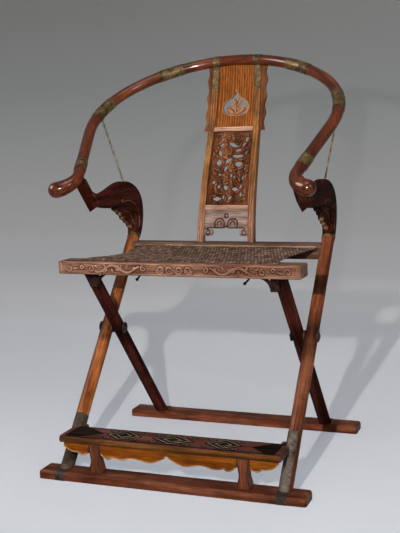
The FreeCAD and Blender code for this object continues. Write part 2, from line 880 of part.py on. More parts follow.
def piercings():
    """Openings among the foliage: place across and up the field, length, width and lean of each."""
    return [
        (-0.60, 0.920, 13.2, 8.5, 60), (0.00, 0.930, 10.8, 8.5, 0), (0.82, 0.910, 18, 11.7, 40),
        (-0.62, 0.830, 16.8, 10.4, 75), (0.03, 0.830, 37.2, 9.8, 105), (0.63, 0.830, 20.4, 7.8, 50),
        (-0.68, 0.705, 20.4, 13, -20), (0.36, 0.745, 20.4, 8.5, 75), (0.37, 0.665, 34.8, 12.3, 90),
        (0.84, 0.710, 16.8, 7.8, 20), (-0.69, 0.575, 20.4, 18.2, 0), (-0.17, 0.600, 26.4, 11.1, 60),
        (-0.27, 0.490, 22.8, 9.8, 25), (0.45, 0.550, 25.2, 16.9, 85), (0.84, 0.490, 24, 5.2, 5),
        (0.75, 0.350, 26.4, 5.9, 15), (-0.81, 0.450, 9.6, 7.2, 30), (-0.60, 0.400, 10.8, 9.1, 0),
        (0.07, 0.385, 10.8, 9.1, 30), (0.27, 0.365, 12, 6.5, 60), (-0.90, 0.290, 14.4, 9.1, 70),
        (-0.60, 0.230, 16.8, 11.1, 50), (-0.18, 0.210, 16.8, 15.6, 80), (0.37, 0.185, 21.6, 13, 95),
        (0.71, 0.230, 18, 7.8, 40), (-0.66, 0.050, 30, 11.7, 88), (-0.27, 0.075, 19.2, 7.2, 10),
        (0.11, 0.070, 19.2, 8.5, 50), (0.71, 0.110, 19.2, 7.8, 10),
    ]


def piercing(x, z, length, width, lean):
    """Rounded, uneven opening about a place, leaning from upright by degrees."""
    swells = (1.0, 0.86, 1.1, 0.78, 1.0, 0.9, 1.08, 0.8)
    a = math.radians(lean)
    points = []
    for k, swell in enumerate(swells):
        turn = 2 * math.pi * k / len(swells)
        along = math.cos(turn) * swell * length / 2
        aside = math.sin(turn) * swell * width / 2
        points.append(V(x + along * math.sin(a) + aside * math.cos(a), 0,
                        z + along * math.cos(a) - aside * math.sin(a)))
    rim = Part.BSplineCurve()
    rim.interpolate(points, PeriodicFlag=True)
    return Part.Face(Part.Wire(rim.toShape()))


def splat_middle_panel():
    """Carved panel pierced by small openings inside a plain border."""
    low = lower_cross_z + cross_rail_h + border_w
    high = upper_cross_z - border_w
    inner = splat_half(high) - stile_w - border_w
    openings = []
    for across, up, length, width, lean in piercings():
        face = piercing(across * inner, low + up * (high - low), length, width, lean)
        openings.append(front_prism(face))
    return panel_blank("middle", 0).cut(openings)


def arch(x, z, outer, inner):
    """Rainbow-shaped opening in front view."""
    p = [V(x - outer, 0, z), V(x, 0, z + outer), V(x + outer, 0, z)]
    q = [V(x + inner, 0, z), V(x, 0, z + inner), V(x - inner, 0, z)]
    return Part.Face(Part.Wire([Part.Arc(*p).toShape(), line(p[2], q[0]), Part.Arc(*q).toShape(),
                                line(q[2], p[0])]))


def splat_bottom_panel():
    """Low panel cut away below into two scrolled feet, with two arched openings above."""
    edge_z = lower_cross_z - apron_rise
    foot_z = lower_cross_z - foot_drop
    wide = splat_half(edge_z) - stile_w
    outer = wide - 0.17 * wide
    below = front_prism(polygon([V(-outer, 0, splat_foot.z - 1), V(outer, 0, splat_foot.z - 1),
                                 V(outer, 0, edge_z), V(-outer, 0, edge_z)]))
    under_feet = level(0, foot_z)
    scroll_r = (edge_z - foot_z) * 0.42
    scrolls = []
    for side in SIDES.values():
        centre = V(side * (outer - 0.6 * scroll_r), 0, foot_z + scroll_r)
        scrolls.append(front_prism(Part.Face(Part.Wire(Part.makeCircle(scroll_r, centre, V(0, 1, 0))))))
    arches = []
    for side in SIDES.values():
        for r in (curl_r, 0.5 * curl_r):
            arches.append(front_prism(arch(side * curl_x, edge_z + 0.24 * apron_rise, r, r - curl_slit)))
    eye = front_prism(Part.Face(Part.Wire(Part.makeCircle(0.07 * wide, V(0, 0, edge_z + 0.66 * apron_rise),
                                                         V(0, 1, 0)))))
    cut = below.cut(scrolls)
    return panel_blank("bottom", 0).cut([cut, under_feet, eye] + arches)


def splat_wing():
    """Thin board along a stile's outer edge, with a waved outline."""
    z0 = upper_cross_z
    z1 = splat_head.z - splat_head_drop
    steps = 4 * wing_waves
    inner = [V(splat_half(z) + joint_clearance, 0, z) for z in (z0, z1)]
    outer = []
    for i in range(steps + 1):
        z = z0 + (z1 - z0) * i / steps
        wave = wing_wave * math.cos(2 * math.pi * wing_waves * i / steps)
        outer.append(V(wing_half - wing_wave + wave, 0, z))
    outline = [line(inner[1], inner[0]), line(inner[0], outer[0]), curve(outer), line(outer[-1], inner[1])]
    board = splat_slab(-wing_t / 2, wing_t / 2).common(front_prism(Part.Face(Part.Wire(outline))))
    return largest(board.cut(splat_room()))


def splat_strap():
    """Sheet strap round the crest rail with a tail down the front of a stile."""
    loop = to_crest(crest_sleeve(splat_strap_s, stile_w, strap_in_r, strap_out_r))
    front = -(stile_t / 2 + joint_clearance)
    z1 = splat_head.z
    z0 = z1 - splat_strap_len
    tail_face = polygon([V(splat_half(z0) - stile_w, 0, z0), V(splat_half(z0), 0, z0),
                         V(splat_half(z1), 0, z1), V(splat_half(z1) - stile_w, 0, z1)])
    tail = splat_slab(front - strap_t, front).common(front_prism(tail_face))
    rail = to_crest(crest_length(0, shoulder_joint_s, disc(strap_in_r)))
    return largest(joined([loop, tail.cut(rail)]))


# Footrest


def lug_blank(clearance):
    """Lug of the right end: a bar let into the board's rear edge, rounded about its pin."""
    x1 = long_leg_x - leg_d / 2 - lug_gap + clearance
    x0 = x1 - lug_t - 2 * clearance
    half = lug_h / 2 + clearance
    y0 = footrest_rear_y - lug_reach - clearance
    arm = block(x0, x1, y0, footrest_pin_y, footrest_z - half, footrest_z + half)
    return joined([arm, footrest_bar(x0, x1, 2 * half)])


def footrest_lug():
    x1 = long_leg_x - leg_d / 2 - lug_gap
    pin = footrest_bar(x1 - lug_t, long_leg_x - leg_d / 2 + lug_pin_depth, lug_pin_d)
    return joined([lug_blank(0), pin])


def footrest_board():
    half = footrest_len / 2
    low = footrest_top - footrest_t
    board = block(-half, half, footrest_front_y, footrest_rear_y, low, footrest_top)
    board = round_long_edge_at(board, footrest_front_y, footrest_top, footrest_round)
    board = round_long_edge_at(board, footrest_front_y, low, footrest_round)
    inside = long_leg_x - leg_d / 2 - footrest_notch_gap
    cuts = []
    for side in SIDES.values():
        notch = block(inside, room, footrest_rear_y - footrest_notch, room, -room, room)
        cuts.append(on_side(notch, side))
        cuts.append(on_side(lug_blank(joint_clearance), side))
    return board.cut(cuts)


def footrest_leg_face():
    """Front view of a small cabriole leg: broad at the top, drawn in, and spreading at the foot."""
    z1 = footrest_top - footrest_t
    z0 = foot_rail_h + footrest_leg_gap
    rise = z1 - z0
    widths = [(0, footrest_leg_w), (0.16, 0.92 * footrest_leg_w), (0.42, footrest_leg_waist),
              (0.72, 0.84 * footrest_leg_w), (1, footrest_leg_w)]
    right = [V(footrest_leg_x + w / 2, 0, z0 + share * rise) for share, w in widths]
    left = [V(footrest_leg_x - w / 2, 0, z0 + share * rise) for share, w in widths[::-1]]
    edges = [curve(right), line(right[-1], left[0]), curve(left), line(left[-1], right[0])]
    return Part.Face(Part.Wire(edges))


def footrest_leg():
    y0 = footrest_front_y + apron_set
    prism = front_prism(footrest_leg_face())
    return prism.common(block(-room, room, y0, y0 + footrest_leg_t, -room, room))


def apron_edge(z_top):
    """Lower edge of the right half of the apron: a pointed notch, a long lobe, scallops and a rising end."""
    full = z_top - apron_h
    notch = z_top - apron_notch_h
    near = footrest_leg_x - footrest_leg_w / 2
    far = footrest_leg_x + footrest_leg_w / 2
    end = apron_len / 2
    return [
        curve([V(0, 0, notch), V(0.1 * near, 0, full + 0.25 * apron_h), V(0.26 * near, 0, full),
               V(0.48 * near, 0, full + 0.16 * apron_h), V(0.58 * near, 0, full + 0.12 * apron_h)]),
        curve([V(0.58 * near, 0, full + 0.12 * apron_h), V(0.7 * near, 0, full),
               V(0.82 * near, 0, full + 0.1 * apron_h)]),
        curve([V(0.82 * near, 0, full + 0.1 * apron_h), V(0.92 * near, 0, full),
               V(near, 0, full + 0.3 * apron_h), V(far, 0, full + 0.3 * apron_h)]),
        curve([V(far, 0, full + 0.3 * apron_h), V(far + 0.2 * (end - far), 0, full + 0.1 * apron_h),
               V(far + 0.45 * (end - far), 0, full + 0.3 * apron_h)]),
        curve([V(far + 0.45 * (end - far), 0, full + 0.3 * apron_h),
               V(far + 0.7 * (end - far), 0, full + 0.34 * apron_h), V(end, 0, full + 0.72 * apron_h)]),
    ]


def apron_board():
    z_top = footrest_top - footrest_t
    edges = apron_edge(z_top)
    end = edges[-1].Vertexes[-1].Point
    low = edges[0].Vertexes[0].Point
    corners = [end, V(end.x, 0, z_top), V(0, 0, z_top), low]
    edges += [line(p, q) for p, q in zip(corners, corners[1:])]
    half = Part.Face(Part.Wire(edges)).extrude(V(0, apron_t, 0))
    half.translate(V(0, footrest_front_y + apron_set + joint_clearance, 0))
    whole = joined([half, mirrored(half)])
    slots = []
    for side in SIDES.values():
        near = footrest_leg_x - footrest_leg_w / 2 - joint_clearance
        far = footrest_leg_x + footrest_leg_w / 2 + joint_clearance
        leg_slot = block(near, far, -room, room, -room, room)
        slots.append(on_side(leg_slot, side))
    return whole.cut(slots)


def apron_pieces():
    """Left bracket, middle apron and right bracket, in that order."""
    return sorted(apron_board().Solids, key=lambda solid: solid.CenterOfMass.x)


# Seat webbing


def seat_webbing():
    """Woven seat: laid over the front rail's top, a little slack, and tied to the rear rail's front."""
    y0 = front_rail_y + front_rail_depth / 2 - webbing_lap
    y1 = front_rail_y + front_rail_depth / 2
    y2 = rear_rail_y - rear_rail_depth / 2 - soft_gap
    z0 = seat_height + soft_gap
    z2 = rear_rail_top - webbing_drop - webbing_t
    middle = (y1 + y2) / 2
    under = [V(0, y1, z0), V(0, middle, (z0 + z2) / 2 - webbing_sag), V(0, y2, z2)]
    over = [V(0, p.y, p.z + webbing_t) for p in under[::-1]]
    wire = Part.Wire([line(V(0, y0, z0), under[0]), curve(under), line(under[-1], over[0]), curve(over),
                      line(over[-1], V(0, y0, z0 + webbing_t)), line(V(0, y0, z0 + webbing_t), V(0, y0, z0))])
    sheet = Part.Face(wire).extrude(V(2 * webbing_rear_half, 0, 0))
    sheet.translate(V(-webbing_rear_half, 0, 0))
    waist_y = y0 + webbing_waist_share * (y2 - y0)
    right = [V(webbing_front_half, y0, 0), V(webbing_waist_half, waist_y, 0), V(webbing_rear_half, y2, 0)]
    left = [V(-p.x, p.y, 0) for p in right[::-1]]
    edges = [curve(right), line(right[-1], left[0]), curve(left), line(left[-1], right[0])]
    plan = Part.Face(Part.Wire(edges))
    return sheet.common(plan.extrude(V(0, 0, crest_top_z)))


def pieces():
    """Every node's name and solid, right-hand pieces mirrored to the left."""
    parts = {
        "front_foot_rail": foot_rail(front_foot_y, long_axis, long_leg_x),
        "rear_foot_rail": foot_rail(rear_foot_y, short_axis, short_leg_x),
        "front_foot_straps": foot_straps(front_foot_y, -1, long_leg_x, long_axis),
        "rear_foot_straps": foot_straps(rear_foot_y, 1, short_leg_x, short_axis),
        "front_seat_rail": front_seat_rail(),
        "rear_seat_rail": rear_seat_rail(),
        "crest_centre": to_crest(crest_centre()),
        "splat_upper_rail": splat_cross_rail(upper_cross_z),
        "splat_lower_rail": splat_cross_rail(lower_cross_z),
        "splat_top_panel": splat_top_panel(),
        "splat_middle_panel": splat_middle_panel(),
        "splat_bottom_panel": splat_bottom_panel(),
        "footrest_board": footrest_board(),
        "seat_webbing": seat_webbing(),
    }
    bracket_left, apron, bracket_right = apron_pieces()
    parts["footrest_apron"] = apron
    parts["footrest_bracket_left"] = bracket_left
    parts["footrest_bracket_right"] = bracket_right
    paired = {
        "long_leg": long_leg(),
        "short_leg": short_leg(),
        "corner_brace": corner_brace(),
        "pivot_pin": pivot_pin(),
        "pivot_washers": pivot_washers(),
        "crest_shoulder": to_crest(crest_shoulder()),
        "crest_arm": to_crest(crest_arm()),
        "shoulder_strap": to_crest(crest_sleeve(shoulder_joint_s, joint_strap_len, strap_in_r, strap_out_r)),
        "side_strap": to_crest(crest_sleeve(side_joint_s, joint_strap_len, strap_in_r, strap_out_r)),
        "hand_strap": to_crest(crest_sleeve(hand_strap_s, hand_strap_len, strap_in_r, strap_out_r)),
        "arm_neck": arm_neck(),
        "neck_band": neck_band(),
        "neck_spandrel": neck_spandrel(),
        "arm_stay": arm_stay(),
        "splat_stile": splat_stile(),
        "splat_wing": splat_wing(),
        "splat_strap": splat_strap(),
        "footrest_leg": footrest_leg(),
        "footrest_lug": footrest_lug(),
    }
    for name, shape in paired.items():
        for word, side in SIDES.items():
            parts[name + "_" + word] = on_side(shape, side)
    wedges = []
    for s in (shoulder_joint_s, side_joint_s):
        pin = to_crest(wedge(s, 0))
        wedges += [pin, mirrored(pin)]
    parts["crest_wedge_pins"] = Part.makeCompound(wedges)
    return parts


def main():
    os.makedirs("parts", exist_ok=True)
    for name, shape in pieces().items():
        shape.translate(V(0, frame_shift, 0))
        shape.exportStep("parts/" + name + ".step")


main()
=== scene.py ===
import json
import math
import random

import bmesh
import bpy
from mathutils import Matrix, Vector


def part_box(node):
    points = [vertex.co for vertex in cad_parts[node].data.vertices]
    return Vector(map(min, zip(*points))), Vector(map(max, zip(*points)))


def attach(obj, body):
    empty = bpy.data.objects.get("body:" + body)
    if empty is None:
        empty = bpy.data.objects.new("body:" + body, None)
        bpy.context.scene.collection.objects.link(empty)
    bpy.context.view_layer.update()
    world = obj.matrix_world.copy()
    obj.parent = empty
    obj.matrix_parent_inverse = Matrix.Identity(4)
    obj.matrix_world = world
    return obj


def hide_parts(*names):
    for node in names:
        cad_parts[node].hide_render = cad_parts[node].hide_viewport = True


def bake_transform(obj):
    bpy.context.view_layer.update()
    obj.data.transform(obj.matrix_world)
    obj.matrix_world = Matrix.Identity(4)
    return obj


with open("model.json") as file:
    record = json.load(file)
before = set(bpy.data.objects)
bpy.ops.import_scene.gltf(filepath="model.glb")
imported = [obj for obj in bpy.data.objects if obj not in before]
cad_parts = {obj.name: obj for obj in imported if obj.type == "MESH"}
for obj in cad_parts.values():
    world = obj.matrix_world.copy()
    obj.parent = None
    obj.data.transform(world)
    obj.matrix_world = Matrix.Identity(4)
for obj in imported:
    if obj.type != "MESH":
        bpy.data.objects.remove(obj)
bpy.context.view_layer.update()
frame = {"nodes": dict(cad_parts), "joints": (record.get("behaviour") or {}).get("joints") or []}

nodes = frame["nodes"]
SIDES = {"left": -1, "right": 1}

# Places read from the chair's frame, in metres
joint_places = {joint["name"]: joint["pos_m"] for joint in frame["joints"]}
_, PIVOT_Y, PIVOT_Z = joint_places["fold"]
_, PIN_Y, PIN_Z = joint_places["footrest_flip"]
RAIL_LOW, RAIL_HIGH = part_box("front_seat_rail")
BOARD_LOW, BOARD_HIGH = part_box("footrest_board")
APRON_LOWEST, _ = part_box("footrest_apron")
SMALL_LEG_FOOT, SMALL_LEG_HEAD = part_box("footrest_leg_right")
SEAT_TOP = RAIL_HIGH.z

# Middles, leans and radii of the slanting and curved pieces, which no box gives
LEG_X, LEG_R = 0.29, 0.017
LEG_LEAN = math.radians(40.3)
SHORT_LEG_X = 0.2545
SHORT_LEAN = math.radians(41.1)
SPLAT_FOOT = Vector((0, 0.16633, 0.552))
SPLAT_HEAD = Vector((0, 0.31226, 1.06))
SPLAT_FOOT_LEAN = math.radians(4)
SPLAT_HEAD_LEAN = math.radians(3)

# Ways that the wood's fibres run
ACROSS, BACKWARDS, UPRIGHT = (1, 0, 0), (0, 1, 0), (0, 0, 1)
UP_LONG_LEG = (0, math.sin(LEG_LEAN), math.cos(LEG_LEAN))
UP_SHORT_LEG = (0, -math.sin(SHORT_LEAN), math.cos(SHORT_LEAN))
UP_SPLAT = (SPLAT_HEAD - SPLAT_FOOT).normalized()


# Camera, floor and light

CAMERA_PLACE = (0.90704, -2.39533, 0.86944)
CAMERA_TURN = (21.0996, 8.0741, -1.8543)
CAMERA_LENS, CAMERA_FILM, CAMERA_REACH = 65.746, 36, 100


def photo_camera():
    """Camera at the photograph's place, solved from the chair's straight rails and legs."""
    yaw, pitch, roll = (math.radians(angle) for angle in CAMERA_TURN)
    turn = Matrix.Rotation(yaw, 4, "Z") @ Matrix.Rotation(math.pi / 2 - pitch, 4, "X")
    turn = turn @ Matrix.Rotation(roll, 4, "Z")
    data = bpy.data.cameras.new("photo_camera")
    data.lens = CAMERA_LENS
    data.sensor_width = CAMERA_FILM
    data.clip_end = CAMERA_REACH
    camera = bpy.data.objects.new("photo_camera", data)
    camera.matrix_world = Matrix.Translation(CAMERA_PLACE) @ turn
    bpy.context.collection.objects.link(camera)
    bpy.context.scene.camera = camera


FLOOR_HALF = 22.0
SWEEP_WALL, SWEEP_R, SWEEP_H, SWEEP_STEPS = 4.6, 2.0, 7.0, 20


def studio_floor():
    """Pale floor that sweeps up into a grey backdrop behind the chair."""
    bm = bmesh.new()
    bmesh.ops.create_grid(bm, x_segments=1, y_segments=1, size=FLOOR_HALF)
    bmesh.ops.translate(bm, verts=bm.verts, vec=(0, SWEEP_WALL - FLOOR_HALF, 0))
    far = [e for e in bm.edges if min(v.co.y for v in e.verts) > SWEEP_WALL - 0.01]
    raised = bmesh.ops.extrude_edge_only(bm, edges=far)["geom"]
    risen = [g for g in raised if isinstance(g, bmesh.types.BMVert)]
    bmesh.ops.translate(bm, verts=risen, vec=(0, 0, SWEEP_H))
    crease = [e for e in far if e.is_valid]
    bmesh.ops.bevel(bm, geom=crease, offset=SWEEP_R, segments=SWEEP_STEPS, profile=0.5, affect="EDGES",
                    material=-1)
    floor = piece_from(bm, "studio_floor", floor_paint())


AIR_TINT = (0.92, 0.96, 1.0, 1)
AIR_LIGHT, AIR_SEEN = 0.12, 0.18
KEY_REACH = 2.0
LAMP_AIM = Vector((0, 0, 0.5))
WARM = (1.0, 0.97, 0.93)
LAMPS = (
    ("key_lamp", (0.38, -2.0, 1.05), 0.04, 50, (1.0, 0.97, 0.94)),
    ("left_lamp", (-2.4, -2.0, 2.0), 1.0, 5, WARM),
    ("right_lamp", (2.4, -1.6, 2.0), 0.75, 25, WARM),
    ("top_lamp", (0.2, -0.9, 3.2), 1.6, 24, (0.97, 0.98, 1.0)),
    ("rear_lamp", (0.4, 4.0, 3.2), 3.4, 66, WARM),
    ("sheen_lamp", (-2.5, -1.5, 2.5), 1.8, 110, (1.0, 0.98, 0.96)),
)


def even_reach(data, distance):
    """Keep a lamp's light the level it has at one distance, as it is from a strong lamp far away."""
    data.use_nodes = True
    reach = add(data.node_tree, "ShaderNodeLightFalloff", {"Strength": 1 / distance ** 2})
    feed(data.node_tree, data.node_tree.nodes["Emission"], {"Strength": reach.outputs["Constant"]})


def studio_light():
    """Faint air light and six lamps: the rear one gives no mirrored light, and the sheen lamp only that."""
    world = bpy.data.worlds.new("studio_air")
    world.use_nodes = True
    tree = world.node_tree
    level = reckon(tree, "MULTIPLY_ADD", seen_directly(tree), AIR_SEEN, AIR_LIGHT)
    feed(tree, tree.nodes["Background"], {"Color": AIR_TINT, "Strength": level})
    bpy.context.scene.world = world
    for name, place, size, power, tint in LAMPS:
        data = bpy.data.lights.new(name, "AREA")
        data.shape = "DISK"
        data.size = size
        data.energy = power
        data.color = tint
        if name == "key_lamp":
            even_reach(data, KEY_REACH)
        lamp = bpy.data.objects.new(name, data)
        lamp.location = place
        lamp.visible_camera = False
        lamp.visible_glossy = name != "rear_lamp"
        lamp.visible_diffuse = name != "sheen_lamp"
        lamp.rotation_mode = "QUATERNION"
        lamp.rotation_quaternion = (LAMP_AIM - Vector(place)).to_track_quat("-Z", "Y")
        bpy.context.collection.objects.link(lamp)
    bpy.context.scene.view_settings.view_transform = "Standard"


# Shader nodes


def new_finish(name):
    finish = bpy.data.materials.new(name + "_finish")
    finish.use_nodes = True
    return finish, finish.node_tree, finish.node_tree.nodes["Principled BSDF"]


def feed(tree, node, inputs):
    """Join or set a node's inputs."""
    for key, value in inputs.items():
        if isinstance(value, bpy.types.NodeSocket):
            tree.links.new(value, node.inputs[key])
        else:
            node.inputs[key].default_value = value


def add(tree, kind, inputs=None, **settings):
    """A shader node with its settings, and its inputs joined or set."""
    node = tree.nodes.new(kind)
    for key, value in settings.items():
        setattr(node, key, value)
    feed(tree, node, inputs or {})
    return node


def reckon(tree, how, *values, **settings):
    """A value worked out from others by the shader."""
    return add(tree, "ShaderNodeMath", dict(enumerate(values)), operation=how, **settings).outputs[0]


def tone(value):
    """A colour or a grey as a shader takes it, or a joined one as it is."""
    if isinstance(value, bpy.types.NodeSocket):
        return value
    return (*value, 1.0) if hasattr(value, "__len__") else (value, value, value, 1.0)


def ramp(tree, value, stops):
    """Colours or greys at places along a value."""
    node = add(tree, "ShaderNodeValToRGB", {"Fac": value})
    bar = node.color_ramp
    while len(bar.elements) < len(stops):
        bar.elements.new(0.5)
    for element, (place, colour) in zip(bar.elements, stops):
        element.position = place
        element.color = tone(colour)
    return node.outputs["Color"]


def mixed(tree, share, first, second, how="MIX"):
    values = {0: share, 6: tone(first), 7: tone(second)}
    return add(tree, "ShaderNodeMix", values, data_type="RGBA", blend_type=how).outputs[2]


def shaded(tree, share, colour, value, stops):
    """A colour made darker or lighter by stops along a value."""
    return mixed(tree, share, colour, ramp(tree, value, stops), "MULTIPLY")


def noise(tree, coords, scale, detail=4.0, rough=0.55):
    values = {"Vector": coords, "Scale": scale, "Detail": detail, "Roughness": rough}
    return add(tree, "ShaderNodeTexNoise", values).outputs["Fac"]


def object_place(tree):
    return add(tree, "ShaderNodeTexCoord").outputs["Object"]


def stretched(tree, place, scale):
    return add(tree, "ShaderNodeMapping", {"Vector": place, "Scale": scale}).outputs["Vector"]


def between(tree, value, low, high, first=0.0, last=1.0):
    """What a value between two limits comes to between two others."""
    limits = {"Value": value, "From Min": low, "From Max": high, "To Min": first, "To Max": last}
    return add(tree, "ShaderNodeMapRange", limits).outputs["Result"]


def seen_directly(tree):
    """1 for what the camera sees, also mirrored or through glass, and 0 for light that falls on things."""
    path = add(tree, "ShaderNodeLightPath").outputs
    mirrored = reckon(tree, "ADD", path["Is Camera Ray"], path["Is Glossy Ray"])
    return reckon(tree, "ADD", mirrored, path["Is Transmission Ray"], use_clamp=True)


def bumped(tree, shader, height, strength, distance):
    bump = add(tree, "ShaderNodeBump", {"Height": height, "Strength": strength, "Distance": distance})
    feed(tree, shader, {"Normal": bump.outputs["Normal"]})


# Finishes

WORN = (0.3, 0.7)
FIGURE, FIBRE, PLAIN = (4, 46, 46), (22, 520, 520), (1, 1, 1)
STRIPE_DRAW, STRIPE_SCALE = (1, 0.04, 0.1), 42.0
STAIN_SPOT, STAIN_RAGGED, STAIN_CORE, STAIN_DARK = (0, PIVOT_Y, PIVOT_Z), 0.09, 0.4, 0.22
# Reach of the painted shade in carved hollows
HOLLOW_SHADE_REACH = 0.01
WARM_SHEEN = (1.0, 0.72, 0.55, 1)


def along_fibres(tree, axis):
    """Object coordinates turned so that the fibres run along the first of them."""
    turn = Vector(axis).rotation_difference(Vector((1, 0, 0))).to_euler()
    return add(tree, "ShaderNodeMapping", {"Vector": object_place(tree), "Rotation": turn}).outputs["Vector"]


def striped(tree, colour, tones, share):
    """Colour with long stripes drawn over it."""
    waves = {"Vector": stretched(tree, object_place(tree), STRIPE_DRAW), "Scale": STRIPE_SCALE,
             "Distortion": 4.0, "Detail": 3.0, "Detail Scale": 1.2}
    wave = add(tree, "ShaderNodeTexWave", waves, wave_type="BANDS", bands_direction="X").outputs["Fac"]
    return mixed(tree, share, colour, ramp(tree, wave, list(zip((0.0, 0.45, 1.0), tones))))


def tinted_below(tree, colour, tint, low, high):
    """Colour tinted below one height, and left as it is above another."""
    height = add(tree, "ShaderNodeSeparateXYZ", {"Vector": object_place(tree)}).outputs["Z"]
    return shaded(tree, 1.0, colour, between(tree, height, low, high), [(0.0, tint), (1.0, 1.0)])


def stained(tree, colour, patches, reach):
    """Colour darkened about the pivot pin, with a ragged edge."""
    sideways = stretched(tree, object_place(tree), (0, 1, 1))
    away = add(tree, "ShaderNodeVectorMath", {0: sideways, 1: STAIN_SPOT}, operation="DISTANCE")
    ragged = reckon(tree, "MULTIPLY_ADD", patches, STAIN_RAGGED, away.outputs["Value"])
    share = between(tree, ragged, STAIN_CORE * reach, reach)
    return shaded(tree, 1.0, colour, share, [(0.0, STAIN_DARK), (1.0, 1.0)])


def wood(name, axis, tones, rough=(0.36, 0.58), coat=0.05, stripes=0.0, blotch=0.45, hollow_shade=0.0, height_tint=None,
         stain=0.0, shine=0.06):
    """Wood with figure, fibres and blotches, and where asked stripes, painted shade in its hollows, a tint
    below a height or a stain.
    """
    finish, tree, shader = new_finish(name)
    turned = along_fibres(tree, axis)
    figure, fibre, plain = (stretched(tree, turned, scale) for scale in (FIGURE, FIBRE, PLAIN))
    colour = ramp(tree, noise(tree, figure, 1.0, 5), list(zip((0.32, 0.5, 0.68), tones)))
    if stripes:
        colour = striped(tree, colour, tones, stripes)
    threads = noise(tree, fibre, 1.0, 3)
    colour = shaded(tree, 0.85, colour, threads, [(0.33, 0.32), (0.64, 1.25)])
    patches = noise(tree, plain, 14.0, 5, 0.6)
    colour = shaded(tree, blotch, colour, patches, [(0.32, 0.3), (0.62, 1.15)])
    # On the long legs this tint below a height is painted light and shade.
    if height_tint:
        colour = tinted_below(tree, colour, *height_tint)
    if stain:
        colour = stained(tree, colour, patches, stain)
    # Painted shade: the colour is darkened where ambient occlusion finds the carving's hollows.
    if hollow_shade:
        painted_hollow_shade = add(tree, "ShaderNodeAmbientOcclusion", {"Distance": HOLLOW_SHADE_REACH}, samples=6).outputs["AO"]
        colour = shaded(tree, hollow_shade, colour, painted_hollow_shade, [(0.45, 0.1), (0.96, 1.0)])
    feed(tree, shader, {"Base Color": colour, "Roughness": between(tree, patches, *WORN, rough[1], rough[0]),
                        "Specular IOR Level": shine, "Specular Tint": WARM_SHEEN,
                        "Coat Weight": coat, "Coat Roughness": 0.13})
    bumped(tree, shader, threads, 0.25, 0.0006)
    return finish


def metal(name, bright, dull, rough, metallic=0.85, scale=70.0, share=(0.35, 0.65), engraved=0.0, shine=0.5):
    """Aged metal: bright where it is rubbed, dull in its patches, with an engraved ground where asked."""
    finish, tree, shader = new_finish(name)
    place = object_place(tree)
    patches = noise(tree, place, scale, 6, 0.65)
    height = specks = noise(tree, place, scale * 6, 3)
    colour = mixed(tree, ramp(tree, patches, [(share[0], 0.0), (share[1], 1.0)]), dull, bright)
    colour = shaded(tree, 0.5, colour, specks, [(0.35, 0.55), (0.65, 1.15)])
    if engraved:
        cells = add(tree, "ShaderNodeTexVoronoi", {"Vector": place, "Scale": engraved}, feature="SMOOTH_F1")
        height = cells.outputs["Distance"]
        colour = shaded(tree, 0.75, colour, height, [(0.18, 1.15), (0.42, 0.5)])
    feed(tree, shader, {"Base Color": colour, "Roughness": between(tree, patches, *WORN, rough[1], rough[0]),
                        "Metallic": metallic, "Specular IOR Level": shine})
    bumped(tree, shader, height, 0.35, 0.0008)
    return finish


# Cord colour by the weave's height: near black in the creases, painted shade, to pale on top, painted light.
CORD_TONES = [(0.15, (0.012, 0.006, 0.004)), (0.45, (0.082, 0.046, 0.032)), (0.85, (0.31, 0.203, 0.149))]


def woven_cord(name):
    """Grey-brown cord, painted dark as shade between its turns and painted pale as light on top, its tone
    uneven from crossing to crossing.
    """
    finish, tree, shader = new_finish(name)
    place = object_place(tree)
    lie = add(tree, "ShaderNodeAttribute", attribute_name="cord_height").outputs["Fac"]
    fuzz = noise(tree, place, 900.0, 3)
    colour = ramp(tree, lie, CORD_TONES)
    colour = shaded(tree, 0.6, colour, noise(tree, place, 16.0, 5), [(0.3, 0.55), (0.7, 1.25)])
    colour = shaded(tree, 0.5, colour, fuzz, [(0.3, 0.6), (0.7, 1.3)])
    feed(tree, shader, {"Base Color": colour, "Roughness": 0.9, "Specular IOR Level": 0.05})
    bumped(tree, shader, fuzz, 0.4, 0.0006)
    return finish


# Shares of the floor's run, from its front to the top of the backdrop, what it throws back there, and the
# glow it shows there, painted light falling off along the floor and up the backdrop
FLOOR_REACH, FLOOR_CLIMB = (-4.5, 10.5), 2.0
FLOOR_WHITE = ((0.1, 0.08), (0.2, 0.12), (0.258, 0.28), (0.328, 0.3), (0.4, 0.34), (0.44, 0.26), (0.5, 0.05),
               (0.56, 0.016))
FLOOR_GLOW = (
    (0.15, (0.22, 0.225, 0.235)), (0.26, (0.3, 0.324, 0.367)), (0.29, (0.261, 0.282, 0.322)),
    (0.345, (0.195, 0.206, 0.235)), (0.387, (0.163, 0.174, 0.199)), (0.413, (0.172, 0.181, 0.201)),
    (0.49, (0.275, 0.277, 0.289)), (0.55, (0.278, 0.279, 0.285)), (0.65, (0.228, 0.229, 0.232)),
    (0.76, (0.16, 0.166, 0.164)), (0.85, (0.131, 0.133, 0.128)),
)


def floor_paint():
    """Pale floor that takes the chair's shadow, its grey seen to change with distance and up the backdrop
    through a glow shown to the camera, painted light.
    """
    finish, tree, shader = new_finish("floor")
    axes = add(tree, "ShaderNodeSeparateXYZ", {"Vector": object_place(tree)}).outputs
    far = reckon(tree, "ADD", axes["Y"], reckon(tree, "MULTIPLY", axes["Z"], FLOOR_CLIMB))
    share = between(tree, far, *FLOOR_REACH)
    feed(tree, shader, {"Base Color": ramp(tree, share, FLOOR_WHITE), "Roughness": 0.6,
                        "Specular IOR Level": 0.2, "Emission Color": ramp(tree, share, FLOOR_GLOW),
                        "Emission Strength": seen_directly(tree)})
    return finish


CREST_TONES = ((0.033, 0.006, 0.002), (0.09, 0.017, 0.005), (0.153, 0.034, 0.008))
CREST_WAYS = {"crest_centre": ACROSS, "crest_arm": (0, -0.84, -0.54),
              "crest_shoulder_left": (-0.6, -0.67, -0.44), "crest_shoulder_right": (0.6, -0.67, -0.44)}

